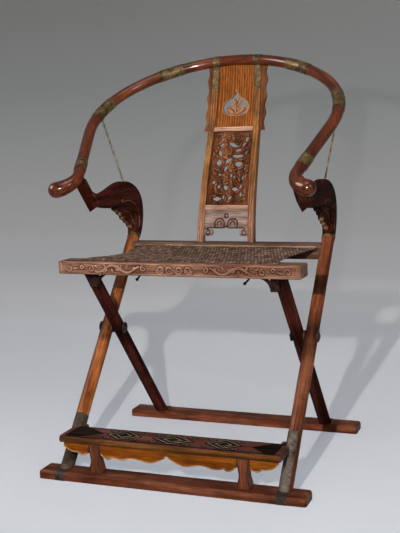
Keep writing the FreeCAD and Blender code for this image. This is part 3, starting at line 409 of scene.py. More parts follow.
# Each wood's way of the fibres, its dark, middle and light tone, and what sets it apart
WOODS = {
    # The long legs are one wood, given lighter tones on the left and darker on the right as painted light and
    # shade; below a height the left leg is painted lighter and the right one darker, also painted light and
    # shade.
    "long_leg_left": (UP_LONG_LEG, (0.083, 0.019, 0.005), (0.246, 0.071, 0.019), (0.406, 0.139, 0.04),
                      dict(coat=0.06, blotch=0.8, height_tint=((1.45, 1.55, 1.4), 0.15, 0.25), stain=0.13)),
    "long_leg_right": (UP_LONG_LEG, (0.065, 0.016, 0.006), (0.165, 0.045, 0.018), (0.279, 0.094, 0.043),
                       dict(coat=0.06, blotch=0.8, height_tint=((0.8, 0.83, 0.9), 0.27, 0.37), stain=0.13)),
    "short_leg": (UP_SHORT_LEG, (0.014, 0.003, 0.004), (0.049, 0.011, 0.007), (0.096, 0.022, 0.015),
                  dict(blotch=0.6, stain=0.095, shine=0.0)),
    "arm_neck": (BACKWARDS, (0.013, 0.003, 0.002), (0.038, 0.008, 0.004), (0.08, 0.017, 0.011),
                 dict(coat=0.07, blotch=0.4, hollow_shade=0.5, shine=0.0)),
    # Paler than the neck's wood: partly the carving's own lighter colour and partly painted highlight on its
    # raised lines and leaves.
    "neck_carving": (BACKWARDS, (0.04, 0.014, 0.007), (0.11, 0.047, 0.024), (0.34, 0.2, 0.105),
                     dict(blotch=0.7, hollow_shade=0.6, shine=0.0)),
    "splat_top_panel": (UP_SPLAT, (0.084, 0.021, 0.003), (0.177, 0.048, 0.008), (0.279, 0.093, 0.018),
                        dict(stripes=0.8, blotch=0.3)),
    "cloud_rim": (UP_SPLAT, (0.2, 0.075, 0.025), (0.36, 0.16, 0.06), (0.46, 0.25, 0.12), {}),
    "splat_middle_panel": (UP_SPLAT, (0.036, 0.009, 0.005), (0.105, 0.03, 0.011), (0.189, 0.069, 0.029),
                           dict(blotch=0.5, hollow_shade=0.9)),
    # A paler copy of the middle panel's wood for its carved foliage, painted highlight.
    "foliage": (UP_SPLAT, (0.044, 0.011, 0.005), (0.139, 0.044, 0.015), (0.285, 0.112, 0.043),
                dict(coat=0.1, blotch=0.4, hollow_shade=0.9)),
    "splat_bottom_panel": (ACROSS, (0.114, 0.074, 0.059), (0.218, 0.147, 0.123), (0.314, 0.228, 0.199),
                           dict(rough=(0.5, 0.7), coat=0.0, blotch=0.5, hollow_shade=0.5)),
    "dark_line": (ACROSS, (0.02, 0.008, 0.006), (0.05, 0.02, 0.014), (0.1, 0.045, 0.03), {}),
    "splat_stile": (UP_SPLAT, (0.076, 0.027, 0.008), (0.203, 0.078, 0.022), (0.313, 0.147, 0.053),
                    dict(stripes=0.45, blotch=0.65, height_tint=((1.25, 1.5, 2.9), 0.6, 0.72))),
    "splat_wing": (UP_SPLAT, (0.05, 0.016, 0.006), (0.15, 0.05, 0.018), (0.24, 0.09, 0.035),
                   dict(blotch=0.5)),
    "cross_rail": (ACROSS, (0.197, 0.097, 0.064), (0.394, 0.217, 0.155), (0.511, 0.325, 0.259), {}),
    "front_seat_rail": (ACROSS, (0.084, 0.033, 0.02), (0.22, 0.103, 0.065), (0.34, 0.189, 0.132),
                        dict(rough=(0.42, 0.62), blotch=0.55, hollow_shade=0.7)),
    # A paler copy of the rail's wood for its carving, painted highlight, and a dark one laid under the
    # carving, painted shade.
    "rail_carving": (ACROSS, (0.14, 0.06, 0.038), (0.32, 0.16, 0.106), (0.5, 0.29, 0.205),
                     dict(rough=(0.3, 0.5), coat=0.15, blotch=0.35)),
    "rail_painted_shade": (ACROSS, (0.03, 0.011, 0.007), (0.065, 0.026, 0.017), (0.11, 0.05, 0.034),
                    dict(coat=0.0, shine=0.0)),
    "rear_seat_rail": (ACROSS, (0.03, 0.012, 0.008), (0.085, 0.04, 0.027), (0.16, 0.09, 0.065),
                       dict(coat=0.1)),
    "foot_rail": (ACROSS, (0.03, 0.008, 0.004), (0.106, 0.027, 0.011), (0.188, 0.066, 0.034),
                  dict(coat=0.06, blotch=0.75)),
    "footrest_board": (ACROSS, (0.03, 0.01, 0.007), (0.105, 0.03, 0.019), (0.19, 0.062, 0.04),
                       dict(blotch=0.6)),
    "footrest_edge": (ACROSS, (0.043, 0.017, 0.003), (0.119, 0.044, 0.006), (0.187, 0.079, 0.014),
                      dict(blotch=0.5)),
    "footrest_leg": (UPRIGHT, (0.045, 0.013, 0.006), (0.125, 0.036, 0.016), (0.21, 0.075, 0.036),
                     dict(blotch=0.5, hollow_shade=0.5)),
    "inlay_ground": (ACROSS, (0.006, 0.004, 0.003), (0.016, 0.01, 0.008), (0.035, 0.023, 0.018),
                     dict(coat=0.0, shine=0.0)),
    "footrest_apron": (ACROSS, (0.101, 0.024, 0.002), (0.209, 0.056, 0.004), (0.31, 0.098, 0.008),
                       dict(hollow_shade=0.5)),
    "apron_bead": (ACROSS, (0.25, 0.11, 0.04), (0.42, 0.22, 0.09), (0.55, 0.33, 0.17), {}),
    "lashing": (ACROSS, (0.16, 0.1, 0.06), (0.3, 0.2, 0.13), (0.42, 0.3, 0.21), {}),
}

# Each metal's bright and dull tone, its least and greatest roughness, and what sets it apart
METALS = {
    "brass": ((0.225, 0.15, 0.056), (0.03, 0.013, 0.006), (0.34, 0.6),
              dict(metallic=0.4, scale=60.0, share=(0.36, 0.7), engraved=150.0, shine=0.2)),
    "arm_stay_right": ((0.62, 0.49, 0.28), (0.16, 0.11, 0.05), (0.3, 0.5), dict(scale=40.0)),
    "arm_stay_left": ((0.2, 0.17, 0.13), (0.03, 0.024, 0.018), (0.4, 0.6), dict(scale=90.0)),
    "iron": ((0.07, 0.049, 0.037), (0.016, 0.01, 0.007), (0.45, 0.75), dict(metallic=0.4, shine=0.1)),
    "corner_brace": ((0.035, 0.016, 0.011), (0.01, 0.005, 0.004), (0.5, 0.75),
                     dict(metallic=0.0, shine=0.05)),
    "leg_sheath_left": ((0.095, 0.066, 0.046), (0.018, 0.01, 0.007), (0.5, 0.75),
                        dict(metallic=0.2, scale=38.0, share=(0.34, 0.72), shine=0.05)),
    "leg_sheath_right": ((0.17, 0.136, 0.108), (0.022, 0.013, 0.009), (0.5, 0.75),
                         dict(metallic=0.2, scale=38.0, share=(0.34, 0.7), shine=0.1)),
    "inlays": ((0.22, 0.17, 0.125), (0.07, 0.046, 0.032), (0.4, 0.65), dict(metallic=0.2, shine=0.2)),
}

# Pieces of the frame whose finish has another name than theirs
SHARED = {
    "crest_wedge_pins": "crest_centre", "neck_spandrel": "arm_neck", "splat_upper_rail": "cross_rail",
    "splat_lower_rail": "cross_rail", "front_foot_rail": "foot_rail", "rear_foot_rail": "foot_rail",
    "footrest_bracket": "footrest_apron", "shoulder_strap": "brass", "side_strap": "brass",
    "hand_strap": "brass", "splat_strap": "brass", "neck_band": "brass", "front_foot_straps": "iron",
    "rear_foot_straps": "iron", "pivot_pin": "iron", "pivot_washers": "iron", "footrest_lug": "iron",
}


def make_finishes():
    finishes = {name: woven_cord(name) for name in ("seat_webbing", "cord_knots")}
    for name, way in CREST_WAYS.items():
        finishes[name] = wood(name, way, CREST_TONES, rough=(0.3, 0.46), coat=0.5)
    for name, (way, *tones, look) in WOODS.items():
        finishes[name] = wood(name, way, tones, **look)
    for name, (bright, dull, rough, look) in METALS.items():
        finishes[name] = metal(name, bright, dull, rough, **look)
    return finishes


def finish_frame(finishes):
    """Give every piece of the frame its finish, by its name or by its name without its side."""
    for name, node in nodes.items():
        kind = name if name in finishes else name.removesuffix("_left").removesuffix("_right")
        node.data.materials.clear()
        node.data.materials.append(finishes[SHARED.get(kind, kind)])


# Pieces


def piece_from(bm, name, finish, smooth=True):
    """A finished mesh as an object at the origin."""
    bmesh.ops.recalc_face_normals(bm, faces=bm.faces)
    mesh = bpy.data.meshes.new(name)
    bm.to_mesh(mesh)
    bm.free()
    for polygon in mesh.polygons:
        polygon.use_smooth = smooth
    mesh.materials.append(finish)
    piece = bpy.data.objects.new(name, mesh)
    bpy.context.collection.objects.link(piece)
    return piece


def riding(bm, name, finish, body, smooth=True):
    """A finished mesh as an object that moves with a body."""
    piece = piece_from(bm, name, finish, smooth)
    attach(piece, body)


def joined(bm, other):
    """Put one mesh's faces into another."""
    mesh = bpy.data.meshes.new("joined_faces")
    other.to_mesh(mesh)
    other.free()
    bm.from_mesh(mesh)
    bpy.data.meshes.remove(mesh)


def put(bm, verts, place, size, turn=Matrix.Identity(4)):
    """Size, turn and move some of a mesh."""
    step = Matrix.Translation(place) @ turn @ Matrix.Diagonal((*size, 1))
    bmesh.ops.transform(bm, matrix=step, verts=verts)


def next_ring(bm, edges):
    """Pull a new ring of edges out of the last one, still lying on it."""
    grown = bmesh.ops.extrude_edge_only(bm, edges=edges)["geom"]
    verts = {g for g in grown if isinstance(g, bmesh.types.BMVert)}
    return list(verts), [g for g in grown if isinstance(g, bmesh.types.BMEdge) and set(g.verts) <= verts]


# Carver's shapes, drawn flat in X and Y with Z outwards and then laid on the chair

LEAF_TAPER = 0.55


def bead(bm, path, flat=0.8, sides=8):
    """Raised line through places given as x, y and radius, its ring pulled on from one to the next."""
    x, y, size = path[0]
    heading = math.atan2(path[1][1] - y, path[1][0] - x)
    ring = bmesh.ops.create_circle(bm, segments=sides, radius=size)["verts"]
    upright = Matrix.Rotation(heading, 4, "Z") @ Matrix.Rotation(math.pi / 2, 4, "Y")
    put(bm, ring, (x, y, 0), (flat, 1, 1), upright)
    edges = list({e for v in ring for e in v.link_edges})
    bmesh.ops.contextual_create(bm, geom=edges)
    for i in range(1, len(path)):
        verts, edges = next_ring(bm, edges)
        before, after = path[i - 1], path[min(i + 1, len(path) - 1)]
        turned = math.atan2(after[1] - before[1], after[0] - before[0])
        step = Matrix.Translation((path[i][0], path[i][1], 0)) @ Matrix.Rotation(turned - heading, 4, "Z")
        step = step @ Matrix.Scale(path[i][2] / size, 4) @ Matrix.Translation((-x, -y, 0))
        bmesh.ops.transform(bm, matrix=step, verts=verts)
        x, y, size = path[i]
        heading = turned
    bmesh.ops.contextual_create(bm, geom=edges)


def curl(x, y, outer, inner, start, turn, thick, thin, steps=14):
    """Places of a spiral about a centre, from its outer to its inner end, angles in degrees."""
    places = []
    for i in range(steps + 1):
        t = i / steps
        angle = math.radians(start + turn * t)
        reach = outer + (inner - outer) * t
        places.append((x + reach * math.cos(angle), y + reach * math.sin(angle), thick + (thin - thick) * t))
    return places


def smooth_line(points, size, steps=5):
    """Places of one smooth line through points, all of one radius."""
    places = []
    for i in range(len(points) - 1):
        p0, p1 = points[max(i - 1, 0)], points[i]
        p2, p3 = points[i + 1], points[min(i + 2, len(points) - 1)]
        for k in range(steps):
            t = k / steps
            place = []
            for a, b, c, d in zip(p0, p1, p2, p3):
                bend = 2 * a - 5 * b + 4 * c - d + t * (3 * (b - c) + d - a)
                place.append(b + 0.5 * t * (c - a + t * bend))
            places.append((place[0], place[1], size))
    return places + [(points[-1][0], points[-1][1], size)]


def leaf_boss(bm, x, y, length, width, lean, thick, level=0.0, bend=0.0):
    """Swelling pointed leaf from its stalk at (x, y), leaning from upright by degrees."""
    leaf = bmesh.new()
    verts = bmesh.ops.create_uvsphere(leaf, u_segments=10, v_segments=4, radius=0.5)["verts"]
    for vert in verts:
        along = 2 * vert.co.x
        vert.co.y = vert.co.y * (1 - LEAF_TAPER * along * along) + bend * along * along
    way = Vector((math.sin(math.radians(lean)), math.cos(math.radians(lean)), 0))
    middle = Vector((x, y, level)) + way * (length / 2)
    put(leaf, verts, middle, (length, width, thick), Matrix.Rotation(math.atan2(way.y, way.x), 4, "Z"))
    joined(bm, leaf)


def dome(bm, x, y, radius, height, level=0.0):
    verts = bmesh.ops.create_icosphere(bm, subdivisions=2, radius=1)["verts"]
    put(bm, verts, (x, y, level), (radius, radius, height))


def lay(bm, place):
    """Lay a flat drawing on the chair."""
    for vert in bm.verts:
        vert.co = place(*vert.co)


# Woven seat

WEB_FRONT, WEB_LAP, WEB_BACK = -0.2024, -0.1584, 0.14
WEB_FRONT_Z, WEB_BACK_Z, WEB_SLACK = SEAT_TOP + 0.0015, 0.5396, 0.005
WEB_HALVES = (0.2655, 0.2365, 0.2695)
WEB_WAIST = 0.4
WEB_CORD = 0.009
WEB_SLANT = 0.32
WEB_RISE = 0.0018
WEB_T = 0.0024
WEB_SHADES = 96


def webbing_half(y):
    """Half the seat's width, drawn in at its waist."""
    front, waist, back = WEB_HALVES
    t = (y - WEB_FRONT) / (WEB_BACK - WEB_FRONT)
    from_front = front * (t - WEB_WAIST) * (t - 1) / WEB_WAIST
    from_waist = waist * t * (1 - t) / (WEB_WAIST * (1 - WEB_WAIST))
    return from_front + from_waist + back * t * (t - WEB_WAIST) / (1 - WEB_WAIST)


def webbing_level(y):
    """Height of the seat's middle: flat over the front rail, then slack down to the rear rail."""
    if y < WEB_LAP:
        return WEB_FRONT_Z
    t = (y - WEB_LAP) / (WEB_BACK - WEB_LAP)
    return WEB_FRONT_Z + (WEB_BACK_Z - WEB_FRONT_Z) * t - WEB_SLACK * 4 * t * (1 - t)


def cord_counts(x, y):
    """How many cords lie before a place, counted along both slants of the weave."""
    return (x + WEB_SLANT * y) / WEB_CORD, (x - WEB_SLANT * y) / WEB_CORD


def cord_lift(u, v):
    """Height of the diagonal weave at a place, from 0 between the cords to 1 on top of one."""
    fu, fv = u - math.floor(u), v - math.floor(v)
    round_u = math.sqrt(max(0.0, 1 - (2 * fu - 1) ** 2))
    round_v = math.sqrt(max(0.0, 1 - (2 * fv - 1) ** 2))
    over = 0.5 + 0.5 * math.cos(math.pi * (v - 0.5 + math.floor(u)))
    under = 0.5 + 0.5 * math.cos(math.pi * (u + 0.5 + math.floor(v)))
    return max(round_u * (0.25 + 0.75 * over), round_v * (0.25 + 0.75 * under))


def cord_shades():
    """Shade of the cord at every crossing of the weave, from dark to pale."""
    chance = random.Random(7)
    return [[chance.uniform(0.45, 1.0) for _ in range(WEB_SHADES)] for _ in range(WEB_SHADES)]


def seat_weave(finish):
    """Woven cord seat as one sheet, tied over the front rail and along the rear rail."""
    bm = bmesh.new()
    bmesh.ops.create_grid(bm, x_segments=260, y_segments=170, size=1)
    lift = bm.verts.layers.float.new("cord_height")
    shades = cord_shades()
    for vert in bm.verts:
        y = WEB_FRONT + (WEB_BACK - WEB_FRONT) * (vert.co.y + 1) / 2
        x = vert.co.x * webbing_half(y)
        u, v = cord_counts(x, y)
        rise = cord_lift(u, v)
        # The height drives painted shade in the creases and painted light on top; the random shade of each
        # crossing is the cord's own uneven tone.
        vert[lift] = rise * shades[math.floor(u) % WEB_SHADES][math.floor(v) % WEB_SHADES]
        vert.co = (x, y, webbing_level(y) + WEB_T / 2 + WEB_RISE * (rise - 0.5))
    bmesh.ops.solidify(bm, geom=bm.faces[:], thickness=WEB_T)
    weave = piece_from(bm, "seat_weave", finish)
    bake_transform(weave)
    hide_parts("seat_webbing")


LASHING_R, LASHING_INSET = 0.0022, 0.006
LASHING_Y, LASHING_Z = WEB_BACK - 0.0035, WEB_BACK_Z + 0.0045


def rear_lashing(finish):
    """Pale cord that ties the seat's rear edge along the rear rail."""
    bm = bmesh.new()
    half = WEB_HALVES[2] - LASHING_INSET
    bead(bm, [(-half, 0, LASHING_R), (half, 0, LASHING_R)], flat=1.0)
    lay(bm, lambda x, y, z: (x, LASHING_Y + y, LASHING_Z + z))
    riding(bm, "rear_lashing", finish, "back_frame")


# Carving of the front seat rail

RAIL_FACE, RAIL_MID = RAIL_LOW.y, (RAIL_LOW.z + RAIL_HIGH.z) / 2
BORDER_X, BORDER_Z, BORDER_R = 0.312, 0.0128, 0.0015
BORDER_END_X, BORDER_END_Z = 0.31, 0.0125
# Margin, flatness and thickness of the dark sheets under the rail's carving, painted shade
RAIL_SHADE_EDGE, RAIL_SHADE_FLAT, RAIL_SHADE_T = 0.0019, 0.14, 0.0012
MEDALLION_CURLS = ((-0.037, 180, 560), (-0.0125, 0, -500), (0.0125, 180, 500), (0.037, 0, -560))
MEDALLION_REACH, MEDALLION_LINE, MEDALLION_STEPS = (0.0112, 0.003), (0.003, 0.0018), 22
BODY_HUMP, BODY_WAVE, BODY_SWING, BODY_STEPS = 0.166, 0.08, 0.0085, 24
BODY_ENDS, BODY_THICK, BODY_TAPER = (0.092, 0.214), 0.0042, 0.0016
RAIL_LEAVES = ((0.104, -0.004, 20, 0.014), (0.128, 0.001, -15, 0.013), (0.146, -0.004, 75, 0.015),
               (0.166, -0.009, 10, 0.012), (0.184, 0.001, 30, 0.014), (0.205, 0.003, 70, 0.015),
               (0.279, -0.003, -80, 0.018))
RAIL_LEAF_W, RAIL_LEAF_T, RAIL_LEAF_BEND = 0.0072, 0.0056, 0.25
RAIL_CURLS = ((0.082, 0.002, 0.0078, 90, -400), (0.226, -0.001, 0.0085, 90, 400),
              (0.188, -0.006, 0.0062, 0, -380), (0.146, 0.006, 0.006, 180, 380),
              (0.288, 0.0, 0.0095, 200, -420), (0.252, 0.004, 0.0055, 0, 380))
RAIL_CURL_INNER, RAIL_CURL_LINE = 0.0022, (0.0024, 0.0014)


def rail_lines():
    """Carved lines of the front rail: medallion scrolls, winding bodies and curls."""
    lines = []
    for x, start, turn in MEDALLION_CURLS:
        lines.append(curl(x, 0, *MEDALLION_REACH, start, turn, *MEDALLION_LINE, MEDALLION_STEPS))
    for side in SIDES.values():
        body = []
        for i in range(BODY_STEPS + 1):
            x = BODY_ENDS[0] + (BODY_ENDS[1] - BODY_ENDS[0]) * i / BODY_STEPS
            swing = BODY_SWING * math.cos(2 * math.pi * (x - BODY_HUMP) / BODY_WAVE)
            body.append((side * x, swing, BODY_THICK - BODY_TAPER * abs(2 * i / BODY_STEPS - 1)))
        lines.append(body)
        for x, y, reach, start, turn in RAIL_CURLS:
            lines.append(curl(side * x, y, reach, RAIL_CURL_INNER, start, side * turn, *RAIL_CURL_LINE))
    return lines


def front_rail_carving(finish, ground):
    """Carved lines and leaves between beaded borders, all paler than the rail as painted highlight, the lines
    and leaves each laid on a thin dark sheet a little wider than itself as painted shade.
    """
    # The low piece holds the dark sheets under each carved line and leaf, painted shade.
    high, low = bmesh.new(), bmesh.new()
    for line in rail_lines():
        bead(high, line, flat=1.0)
        bead(low, [(x, y, size + RAIL_SHADE_EDGE) for x, y, size in line], flat=RAIL_SHADE_FLAT)
    for side in SIDES.values():
        for x, y, lean, length in RAIL_LEAVES:
            leaf_boss(high, side * x, y, length, RAIL_LEAF_W, side * lean, RAIL_LEAF_T, bend=RAIL_LEAF_BEND)
            leaf_boss(low, side * x, y, length + RAIL_SHADE_EDGE, RAIL_LEAF_W + 2 * RAIL_SHADE_EDGE, side * lean,
                      RAIL_SHADE_T, bend=RAIL_LEAF_BEND)
        bead(high, [(side * BORDER_END_X, way * BORDER_END_Z, BORDER_R) for way in (-1, 1)])
    for level in (-BORDER_Z, BORDER_Z):
        bead(high, [(way * BORDER_X, level, BORDER_R) for way in (-1, 1)], flat=0.9)
    for bm, name, look in ((high, "front_rail_carving", finish), (low, "front_rail_painted_shade", ground)):
        lay(bm, lambda x, y, z: (x, RAIL_FACE - z, RAIL_MID + y))
        riding(bm, name, look, "seat_frame")


# Carving of the splat

FIELD_LOW, FIELD_HIGH, FIELD_HALF = 0.661, 0.852, 0.0513
PANEL_HALF = 0.0045

# Openings and blossoms of the middle panel: place in shares of the field, sizes in mm, lean in degrees
PIERCINGS = (
    (-0.6, 0.92, 13.2, 8.5, 60), (0.0, 0.93, 10.8, 8.5, 0), (0.82, 0.91, 18, 11.7, 40),
    (-0.62, 0.83, 16.8, 10.4, 75), (0.03, 0.83, 37.2, 9.8, 105), (0.63, 0.83, 20.4, 7.8, 50),
    (-0.68, 0.705, 20.4, 13, -20), (0.36, 0.745, 20.4, 8.5, 75), (0.37, 0.665, 34.8, 12.3, 90),
    (0.84, 0.71, 16.8, 7.8, 20), (-0.69, 0.575, 20.4, 18.2, 0), (-0.17, 0.6, 26.4, 11.1, 60),
    (-0.27, 0.49, 22.8, 9.8, 25), (0.45, 0.55, 25.2, 16.9, 85), (0.84, 0.49, 24, 5.2, 5),
    (0.75, 0.35, 26.4, 5.9, 15), (-0.81, 0.45, 9.6, 7.2, 30), (-0.6, 0.4, 10.8, 9.1, 0),
    (0.07, 0.385, 10.8, 9.1, 30), (0.27, 0.365, 12, 6.5, 60), (-0.9, 0.29, 14.4, 9.1, 70),
    (-0.6, 0.23, 16.8, 11.1, 50), (-0.18, 0.21, 16.8, 15.6, 80), (0.37, 0.185, 21.6, 13, 95),
    (0.71, 0.23, 18, 7.8, 40), (-0.66, 0.05, 30, 11.7, 88), (-0.27, 0.075, 19.2, 7.2, 10),
    (0.11, 0.07, 19.2, 8.5, 50), (0.71, 0.11, 19.2, 7.8, 10),
)
BLOSSOMS = ((-0.25, 0.72, 13), (0.62, 0.42, 12), (-0.22, 0.345, 14), (0.38, 0.91, 10), (-0.3, 0.91, 9),
            (0.42, 0.28, 11), (0.42, 0.05, 10), (-0.95, 0.16, 9), (0.1, 0.5, 10), (-0.62, 0.5, 8),
            (0.02, 0.14, 9), (0.98, 0.6, 8), (-0.98, 0.8, 8))
PIERCED_ENDS, PIERCED_SIDES = 0.0002, 0.0008
LEAF_TRIES, LEAF_GAP = 2400, 0.0098
LEAF_T, PETAL_T, HEART_T, CARVING_SINK = 0.0084, 0.0088, 0.0046, 0.0002
PETALS = 5


def splat_place(x, z, out):
    """Place on the splat's curve as seen from the front, set off forwards from its middle."""
    rise, run = SPLAT_HEAD.z - SPLAT_FOOT.z, SPLAT_HEAD.y - SPLAT_FOOT.y
    u = (z - SPLAT_FOOT.z) / rise
    m0, m1 = math.tan(SPLAT_FOOT_LEAN) * rise, math.tan(SPLAT_HEAD_LEAN) * rise
    y = run * (3 * u ** 2 - 2 * u ** 3) + m0 * (u ** 3 - 2 * u ** 2 + u) + m1 * (u ** 3 - u ** 2)
    slope = (run * 6 * (u - u ** 2) + m0 * (3 * u ** 2 - 4 * u + 1) + m1 * (3 * u ** 2 - 2 * u)) / rise
    return Vector((x, SPLAT_FOOT.y + y - out * math.hypot(1, slope), z))


def field_place(across, up):
    return across * FIELD_HALF, FIELD_LOW + up * (FIELD_HIGH - FIELD_LOW)


def pierced(x, y):
    """Whether a place lies in or close to one of the panel's openings."""
    for across, up, length, width, lean in PIERCINGS:
        cx, cy = field_place(across, up)
        a = math.radians(lean)
        along = (x - cx) * math.sin(a) + (y - cy) * math.cos(a)
        aside = (x - cx) * math.cos(a) - (y - cy) * math.sin(a)
        if (along / (length / 2000 + PIERCED_ENDS)) ** 2 + (aside / (width / 2000 + PIERCED_SIDES)) ** 2 < 1:
            return True
    return False


def foliage():
    """Leaves scattered over the panel's solid parts, clear of its openings and blossoms."""
    chance = random.Random(11)
    blooms = [(field_place(across, up), size / 1000) for across, up, size in BLOSSOMS]
    leaves = []
    for _ in range(LEAF_TRIES):
        x, y = field_place(chance.uniform(-1.08, 1.08), chance.uniform(-0.02, 1.02))
        lean = chance.uniform(0, 360)
        length = chance.uniform(0.015, 0.026)
        way = (math.sin(math.radians(lean)), math.cos(math.radians(lean)))
        spots = [(x + way[0] * length * t, y + way[1] * length * t) for t in (0, 0.25, 0.5, 0.75, 1)]
        if any(pierced(*spot) or abs(spot[0]) > 1.06 * FIELD_HALF for spot in spots):
            continue
        if not all(FIELD_LOW - 0.003 < spot[1] < FIELD_HIGH + 0.003 for spot in spots):
            continue
        if any(math.dist(spot, place) < 0.8 * size for spot in spots for place, size in blooms):
            continue
        if any(math.dist(spots[2], other[0]) < LEAF_GAP for other in leaves):
            continue
        leaves.append((spots[2], x, y, length, lean, chance.uniform(0.0082, 0.0115)))
    return leaves


def middle_panel_carving(finish):
    """Foliage and blossoms standing proud of both faces of the pierced panel."""
    bm = bmesh.new()
    leaves = foliage()
    for face in (1, -1):
        level = face * (PANEL_HALF - CARVING_SINK)
        for _, x, y, length, lean, width in leaves:
            leaf_boss(bm, x, y, length, width, lean, LEAF_T, level, bend=0.2)
        for across, up, size in BLOSSOMS:
            x, y = field_place(across, up)
            reach = size / 1000
            for k in range(PETALS):
                leaf_boss(bm, x, y, reach, 0.72 * reach, 360 / PETALS * k + 9 * size, PETAL_T, level)
            dome(bm, x, y, 0.25 * reach, HEART_T, level + face * 0.001)
    lay(bm, splat_place)
    riding(bm, "middle_panel_carving", finish, "back_frame")


CLOUD_Z, CLOUD_W, CLOUD_H = 0.936, 0.039, 0.04
CLOUD_SIDE = ((0, 1), (0.12, 0.68), (0.42, 0.4), (0.82, 0.14), (1, -0.24), (0.86, -0.62), (0.5, -0.78),
              (0, -0.84))
CLOUD_LIP, CLOUD_BEAD = 0.0008, 0.0011
SPRIG_T, SPRIG_SINK, SPRIG_LEAF_T = 0.005, 0.0006, 0.006
SPRIG_LEAVES = (
    (0.0, -0.35, -72, 0.024, 0.008), (0.02, -0.15, 50, 0.024, 0.009), (0.0, -0.55, 30, 0.026, 0.008),
    (0.0, 0.1, -50, 0.02, 0.009), (0.45, -0.78, 5, 0.028, 0.008), (-0.5, -0.75, -15, 0.022, 0.007),
    (0.62, -0.72, 30, 0.018, 0.008), (0.0, 0.15, 40, 0.016, 0.007), (-0.45, -0.3, 60, 0.018, 0.007),
    (0.46, -0.2, 95, 0.016, 0.008),
)


def cloud_rim(finish):
    """Raised lip round the cloud-head opening, and the sprig in it rounded and given more leaves."""
    bm = bmesh.new()
    for side in SIDES.values():
        half = [(side * x * (CLOUD_W + CLOUD_LIP), CLOUD_Z + z * (CLOUD_H + CLOUD_LIP))
                for x, z in CLOUD_SIDE]
        bead(bm, smooth_line(half, CLOUD_BEAD), flat=0.9)
    bmesh.ops.translate(bm, verts=bm.verts, vec=(0, 0, PANEL_HALF))
    for face in (1, -1):
        level = face * (PANEL_HALF - SPRIG_SINK)
        leaf_boss(bm, 0, CLOUD_Z - 0.98 * CLOUD_H, 1.3 * CLOUD_H, 0.0045, 0, SPRIG_T, level)
        for lean in (-58, 58):
            leaf_boss(bm, 0, CLOUD_Z - 0.75 * CLOUD_H, 0.85 * CLOUD_W, 0.012, lean, SPRIG_T, level)
    for x, z, lean, length, width in SPRIG_LEAVES:
        leaf_boss(bm, x * CLOUD_W, CLOUD_Z + z * CLOUD_H, length, width, lean, SPRIG_LEAF_T, bend=0.25)
    lay(bm, splat_place)
    riding(bm, "cloud_rim", finish, "back_frame")


LOW_EDGE, LOW_FOOT, LOW_OUTER = 0.59, 0.568, 0.05395
LOW_LINE, LOW_FLAT = 0.0023, 0.6
LOW_WAY = ((0, 0.007), (0.005, 0.003), (0.012, 0.0012), (0.6 * LOW_OUTER, 0.0012), (LOW_OUTER, 0.0008),
           (LOW_OUTER + 0.0012, -0.006))
FOOT_X, FOOT_Z = LOW_OUTER + 0.0006, LOW_FOOT + 0.0095
FOOT_REACH, FOOT_LINE = (0.0085, 0.0025), (0.0018, 0.0012)
CURL_X, CURL_Z, CURL_R, CURL_SLIT = 0.0195, LOW_EDGE + 0.0125, 0.0156, 0.0026
EYE_Z, EYE_R, EYE_LINE = LOW_EDGE + 0.0343, 0.0055, 0.0019


def bottom_panel_carving(finish):
    """Dark raised lines round the two arched curls, the eye and the cut-away lower edge; over the slits of
    the curls and the eye their darkness is painted shade.
    """
    bm = bmesh.new()
    for side in SIDES.values():
        for reach in (CURL_R, 0.5 * CURL_R):
            # Each of these lines lies over a slit, painted shade.
            middle = reach - CURL_SLIT / 2
            bead(bm, curl(side * CURL_X, CURL_Z, middle, middle, -30, 240, LOW_LINE, LOW_LINE, 16), LOW_FLAT)
        edge = [(side * x, LOW_EDGE + z) for x, z in LOW_WAY]
        bead(bm, smooth_line(edge, 0.8 * LOW_LINE), LOW_FLAT)
        foot = curl(side * FOOT_X, FOOT_Z, *FOOT_REACH, 90, side * 420, *FOOT_LINE, 18)
        bead(bm, foot, LOW_FLAT)
    bead(bm, curl(0, EYE_Z, EYE_R, EYE_R, 0, 360, EYE_LINE, EYE_LINE), LOW_FLAT)
    bmesh.ops.translate(bm, verts=bm.verts, vec=(0, 0, PANEL_HALF))
    lay(bm, splat_place)
    riding(bm, "bottom_panel_carving", finish, "back_frame")


# Carving of the arm necks: lines in millimetres back from the pivot and up from the floor

NECK_HALF, SPANDREL_HALF, TOE_HALF = 0.015, 0.01, 0.0168
NECK_LINE = ((100, 668), (120, 673), (150, 671), (184, 658), (203, 636), (207, 613), (200, 588))
BRACKET_LINE = ((118, 645), (142, 640), (160, 628), (172, 612), (183, 600))
HEEL_LINE = ((-122, 744), (-88, 713), (-54, 681))
SCALLOPS = ((182.6, 591.9), (164.6, 607.9), (142.6, 617.9), (120.6, 633.9), (98.6, 649.9), (72.6, 657.9))
SCALLOP_T = 0.01
NECK_BEAD, NECK_CURL = 0.0013, (0.1, 0.674, 0.006, 0.0015, -90, -420)


def scallop_leaf(bm, start, end, side):
    """Leaf lying across one scallop of the bracket's front edge."""
    along = Vector((0, end[0] - start[0], end[1] - start[1])) / 1000
    out = Vector((0, -abs(along.z), -abs(along.y))).normalized()
    middle = Vector((side * LEG_X, (start[0] + end[0]) / 2000 + PIVOT_Y, (start[1] + end[1]) / 2000))
    leaf = bmesh.ops.create_icosphere(bm, subdivisions=2, radius=0.5)["verts"]
    put(bm, leaf, middle + out * 0.2 * along.length, (1.5 * SPANDREL_HALF, 0.9 * along.length, SCALLOP_T),
        Matrix((Vector((1, 0, 0)), along.normalized(), out)).transposed().to_4x4())


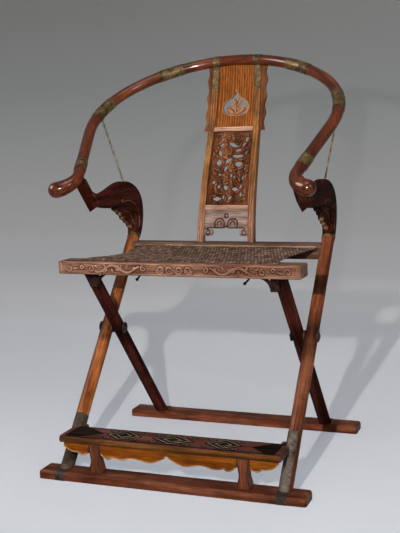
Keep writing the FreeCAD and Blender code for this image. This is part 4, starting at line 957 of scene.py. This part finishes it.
def neck_carving(hand, side, finish):
    """Curled line on each face of a neck, a line within its bracket, and a leaf across each scallop."""
    bm = bmesh.new()
    for face in (-1, 1):
        for level, points in ((NECK_HALF, NECK_LINE), (SPANDREL_HALF, BRACKET_LINE), (TOE_HALF, HEEL_LINE)):
            flat = bmesh.new()
            bead(flat, smooth_line([(y / 1000, z / 1000) for y, z in points], NECK_BEAD))
            if points is NECK_LINE:
                bead(flat, curl(*NECK_CURL, NECK_BEAD, 0.0008))
            lay(flat, lambda x, y, z: (side * LEG_X + face * (level + z), x + PIVOT_Y, y))
            joined(bm, flat)
    for start, end in zip(SCALLOPS, SCALLOPS[1:]):
        scallop_leaf(bm, start, end, side)
    riding(bm, "neck_carving_" + hand, finish, "back_frame")


# Iron on the long legs and the feet

SHEATH_T, SHEATH_GAP, SHEATH_SIDES, SHEATH_RINGS = 0.0006, 0.0001, 40, 27
SHEATH_LOW, SHEATH_HIGH, SHEATH_FOOT = 0.008, 0.132, 0.0215
SHEATH_OUTER, SHEATH_INNER = -42, 128
PIN_ROOM = 0.0085


def cut_away(bm, unwanted):
    """Take out the faces whose middle is unwanted."""
    gone = [face for face in bm.faces if unwanted(face.calc_center_median())]
    bmesh.ops.delete(bm, geom=gone, context="FACES")


def leg_sheath(hand, side, finish):
    """Sheet iron round the front and inner side of a long leg's foot, open about the footrest's pin."""
    bm = bmesh.new()
    ring = bmesh.ops.create_circle(bm, segments=SHEATH_SIDES, radius=LEG_R + SHEATH_GAP)["verts"]
    edges = list({e for v in ring for e in v.link_edges})
    rise = (SHEATH_HIGH - SHEATH_LOW) / math.cos(LEG_LEAN) / SHEATH_RINGS
    for _ in range(SHEATH_RINGS):
        verts, edges = next_ring(bm, edges)
        bmesh.ops.translate(bm, verts=verts, vec=(0, 0, rise))
    cut_away(bm, lambda at: not SHEATH_OUTER < math.degrees(math.atan2(-side * at.x, -at.y)) < SHEATH_INNER)
    foot = (side * LEG_X, PIVOT_Y + (SHEATH_LOW - PIVOT_Z) * math.tan(LEG_LEAN), SHEATH_LOW)
    put(bm, bm.verts, foot, (1, 1, 1), Matrix.Rotation(-LEG_LEAN, 4, "X"))
    whole = bm.verts[:] + bm.edges[:] + bm.faces[:]
    bmesh.ops.bisect_plane(bm, geom=whole, plane_co=(0, 0, SHEATH_FOOT), plane_no=(0, 0, 1), clear_inner=True)
    cut_away(bm, lambda at: abs(at.x) < LEG_X and math.hypot(at.y - PIN_Y, at.z - PIN_Z) < PIN_ROOM)
    bmesh.ops.recalc_face_normals(bm, faces=bm.faces)
    bmesh.ops.solidify(bm, geom=bm.faces[:], thickness=-SHEATH_T)
    riding(bm, "leg_sheath_" + hand, finish, "back_frame")


NAIL_R, NAIL_RISE, NAIL_STEP, NAIL_Z = 0.0032, 0.0012, 0.007, 0.01
NAIL_ROWS = (("front_foot_straps", "back_frame", -1, LEG_X),
             ("rear_foot_straps", "seat_frame", 1, SHORT_LEG_X))


def foot_nails(finish):
    """Domed nails in the outer faces of the foot straps."""
    for straps, body, facing, leg in NAIL_ROWS:
        low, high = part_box(straps)
        bm = bmesh.new()
        for side in SIDES.values():
            for step in (-NAIL_STEP, NAIL_STEP):
                dome(bm, side * leg + step, NAIL_Z, NAIL_R, NAIL_RISE)
        edge = low[1] if facing < 0 else high[1]
        lay(bm, lambda x, y, z: (x, edge + facing * z, y))
        riding(bm, straps.replace("straps", "nails"), finish, body)


# Footrest

REST_FRONT, REST_REAR = BOARD_LOW.y, BOARD_HIGH.y
REST_TOP, REST_HALF = BOARD_HIGH.z, BOARD_HIGH.x
EDGE_R, EDGE_DROP = 0.0052, 0.009
INLAYS = ((-0.128, 0.05), (0.004, 0.058), (0.135, 0.05))
INLAY_DEEP, INLAY_T = 0.038, 0.0005
END_PLATES = ((-0.274, 0.092), (0.274, 0.066))
EDGE_STRIP = 0.0035


def footrest_edge(finish):
    """Rounded moulding along the footrest's front edge."""
    bm = bmesh.new()
    bead(bm, [(-REST_HALF, 0, EDGE_R), (REST_HALF, 0, EDGE_R)], flat=0.45, sides=16)
    lay(bm, lambda x, y, z: (x, REST_FRONT - z, REST_TOP - EDGE_DROP + y))
    riding(bm, "footrest_edge", finish, "footrest")


def lozenge(bm, x, y, half_x, half_y, height, rim=0.0):
    """Flat raised lozenge, cut through inside a rim where one is given as a share."""
    verts = bmesh.ops.create_circle(bm, cap_ends=True, segments=4, radius=1)["verts"]
    faces = list({f for v in verts for f in v.link_faces})
    grown = bmesh.ops.extrude_face_region(bm, geom=faces)["geom"]
    risen = [g for g in grown if isinstance(g, bmesh.types.BMVert)]
    bmesh.ops.translate(bm, verts=risen, vec=(0, 0, height))
    top = [g for g in grown if isinstance(g, bmesh.types.BMFace)]
    if rim:
        inner = bmesh.ops.inset_region(bm, faces=top, thickness=rim * math.sqrt(0.5))["faces"]
        risen += [v for f in inner for v in f.verts]
        bmesh.ops.delete(bm, geom=top, context="FACES_ONLY")
    put(bm, list(set(verts + risen)), (x, y, 0), (half_x, half_y, 1))


def keep_within(bm, half_x, middle, half_y):
    """Cut a flat plate to the part of the board's top it may cover."""
    for way in (-1, 1):
        for at, out in (((way * half_x, 0, 0), (way, 0, 0)), ((0, middle + way * half_y, 0), (0, way, 0))):
            whole = bm.verts[:] + bm.edges[:] + bm.faces[:]
            bmesh.ops.bisect_plane(bm, geom=whole, plane_co=at, plane_no=out, clear_outer=True)


def footrest_inlays(finish, ground):
    """Nested lozenges, end plates and edge strips on the board's top, pale rims on dark grounds."""
    rims, grounds = bmesh.new(), bmesh.new()
    middle = (REST_FRONT + REST_REAR) / 2
    for x, half in INLAYS:
        lozenge(grounds, x, middle, half, INLAY_DEEP, INLAY_T)
        for share, rim in ((0.86, 0.2), (0.46, 0.34)):
            lozenge(rims, x, middle, share * half, share * INLAY_DEEP, 2 * INLAY_T, rim)
        for along, back in ((-1, -1), (-1, 1), (1, -1), (1, 1)):
            at = (x + along * 0.72 * half, middle + back * 0.66 * INLAY_DEEP)
            lozenge(grounds, *at, 0.26 * half, 0.3 * INLAY_DEEP, INLAY_T)
            lozenge(rims, *at, 0.17 * half, 0.2 * INLAY_DEEP, 2 * INLAY_T, 0.5)
    for x, half in END_PLATES:
        plate = bmesh.new()
        lozenge(plate, x, middle, half, 1.6 * INLAY_DEEP, INLAY_T)
        keep_within(plate, abs(x), middle, INLAY_DEEP)
        joined(grounds, plate)
    for edge in (REST_FRONT, REST_REAR):
        inward = math.copysign(EDGE_STRIP, middle - edge)
        strip = bmesh.ops.create_cube(grounds, size=1)["verts"]
        put(grounds, strip, (0, edge + inward, INLAY_T / 2), (2 * END_PLATES[1][0], EDGE_STRIP, INLAY_T))
    for bm, name, look in ((rims, "footrest_inlays", finish), (grounds, "footrest_inlay_ground", ground)):
        bmesh.ops.translate(bm, verts=bm.verts, vec=(0, 0, REST_TOP))
        riding(bm, name, look, "footrest", smooth=False)


APRON_FACE = APRON_LOWEST.y
APRON_NEAR, APRON_FAR, APRON_END = 0.178, 0.212, 0.28
APRON_LOW, APRON_DEEP, APRON_BEAD = 0.0656, 0.034, 0.0015
APRON_CURVES = (((0, 0.588), (0.1, 0.25), (0.26, 0), (0.48, 0.16), (0.58, 0.12)),
                ((0.58, 0.12), (0.7, 0), (0.82, 0.1)), ((0.82, 0.1), (0.92, 0), (0.995, 0.27)))
BRACKET_CURVES = (((0.02, 0.29), (0.2, 0.1), (0.45, 0.3)), ((0.45, 0.3), (0.7, 0.34), (1, 0.72)))
SMALL_LEG_X = (SMALL_LEG_FOOT.x + SMALL_LEG_HEAD.x) / 2
SMALL_LEG_LOW, SMALL_LEG_RISE = SMALL_LEG_FOOT.z, SMALL_LEG_HEAD.z - SMALL_LEG_FOOT.z
SMALL_LEG_WIDTHS = ((0.03, 34), (0.16, 31.3), (0.42, 22), (0.72, 28.6), (0.98, 34))
SMALL_LEG_BEAD, SMALL_LEG_INSET = 0.0016, 0.0022


def on_apron(bm, name, finish):
    """Lay a drawing on the front of the apron and its small legs."""
    lay(bm, lambda x, y, z: (x, APRON_FACE - z, y))
    riding(bm, name, finish, "footrest")


def apron_bead(finish):
    """Pale bead along the apron's cusped lower edge."""
    bm = bmesh.new()
    for side in SIDES.values():
        for start, end, curves in ((0, APRON_NEAR, APRON_CURVES), (APRON_FAR, APRON_END, BRACKET_CURVES)):
            for points in curves:
                line = [(side * (start + x * (end - start)), APRON_LOW + z * APRON_DEEP) for x, z in points]
                bead(bm, smooth_line(line, APRON_BEAD))
    on_apron(bm, "apron_bead", finish)


def small_leg_bead(finish):
    """Dark bead down both edges of the footrest's small legs."""
    bm = bmesh.new()
    for side in SIDES.values():
        for edge in (-1, 1):
            line = [(side * (SMALL_LEG_X + edge * (width / 2000 - SMALL_LEG_INSET)),
                     SMALL_LEG_LOW + share * SMALL_LEG_RISE) for share, width in SMALL_LEG_WIDTHS]
            bead(bm, smooth_line(line, SMALL_LEG_BEAD))
    on_apron(bm, "small_leg_bead", finish)


# Loose ends of the seat's lashing, each from its place under the rail to its knot

KNOTS = ((-0.094, -0.103, 0.502), (0.1925, 0.179, 0.499), (0.2595, 0.2585, 0.5015))
KNOT_TOP, KNOT_BACK = 0.5145, 0.008
KNOT_CORD, KNOT_R = 0.0026, 0.0042


def cord_knots(finish):
    """Short knotted ends of the lashing, drawn through under the front rail."""
    bm = bmesh.new()
    for x0, x1, z in KNOTS:
        way = ((x0, KNOT_TOP), (0.6 * x0 + 0.4 * x1, 0.5 * (KNOT_TOP + z)), (x1, z))
        bead(bm, smooth_line(way, KNOT_CORD), flat=1.0)
        dome(bm, x1, z, KNOT_R, KNOT_R)
    lay(bm, lambda x, y, z: (x, RAIL_FACE + KNOT_BACK - z, y))
    riding(bm, "cord_knots", finish, "seat_frame")


photo_camera()
studio_floor()
studio_light()
finishes = make_finishes()
finish_frame(finishes)
seat_weave(finishes["seat_webbing"])
rear_lashing(finishes["lashing"])
front_rail_carving(finishes["rail_carving"], finishes["rail_painted_shade"])
middle_panel_carving(finishes["foliage"])
cloud_rim(finishes["cloud_rim"])
bottom_panel_carving(finishes["dark_line"])
for hand, side in SIDES.items():
    neck_carving(hand, side, finishes["neck_carving"])
    leg_sheath(hand, side, finishes["leg_sheath_" + hand])
footrest_edge(finishes["footrest_edge"])
footrest_inlays(finishes["inlays"], finishes["inlay_ground"])
apron_bead(finishes["apron_bead"])
small_leg_bead(finishes["dark_line"])
foot_nails(finishes["iron"])
cord_knots(finishes["cord_knots"])
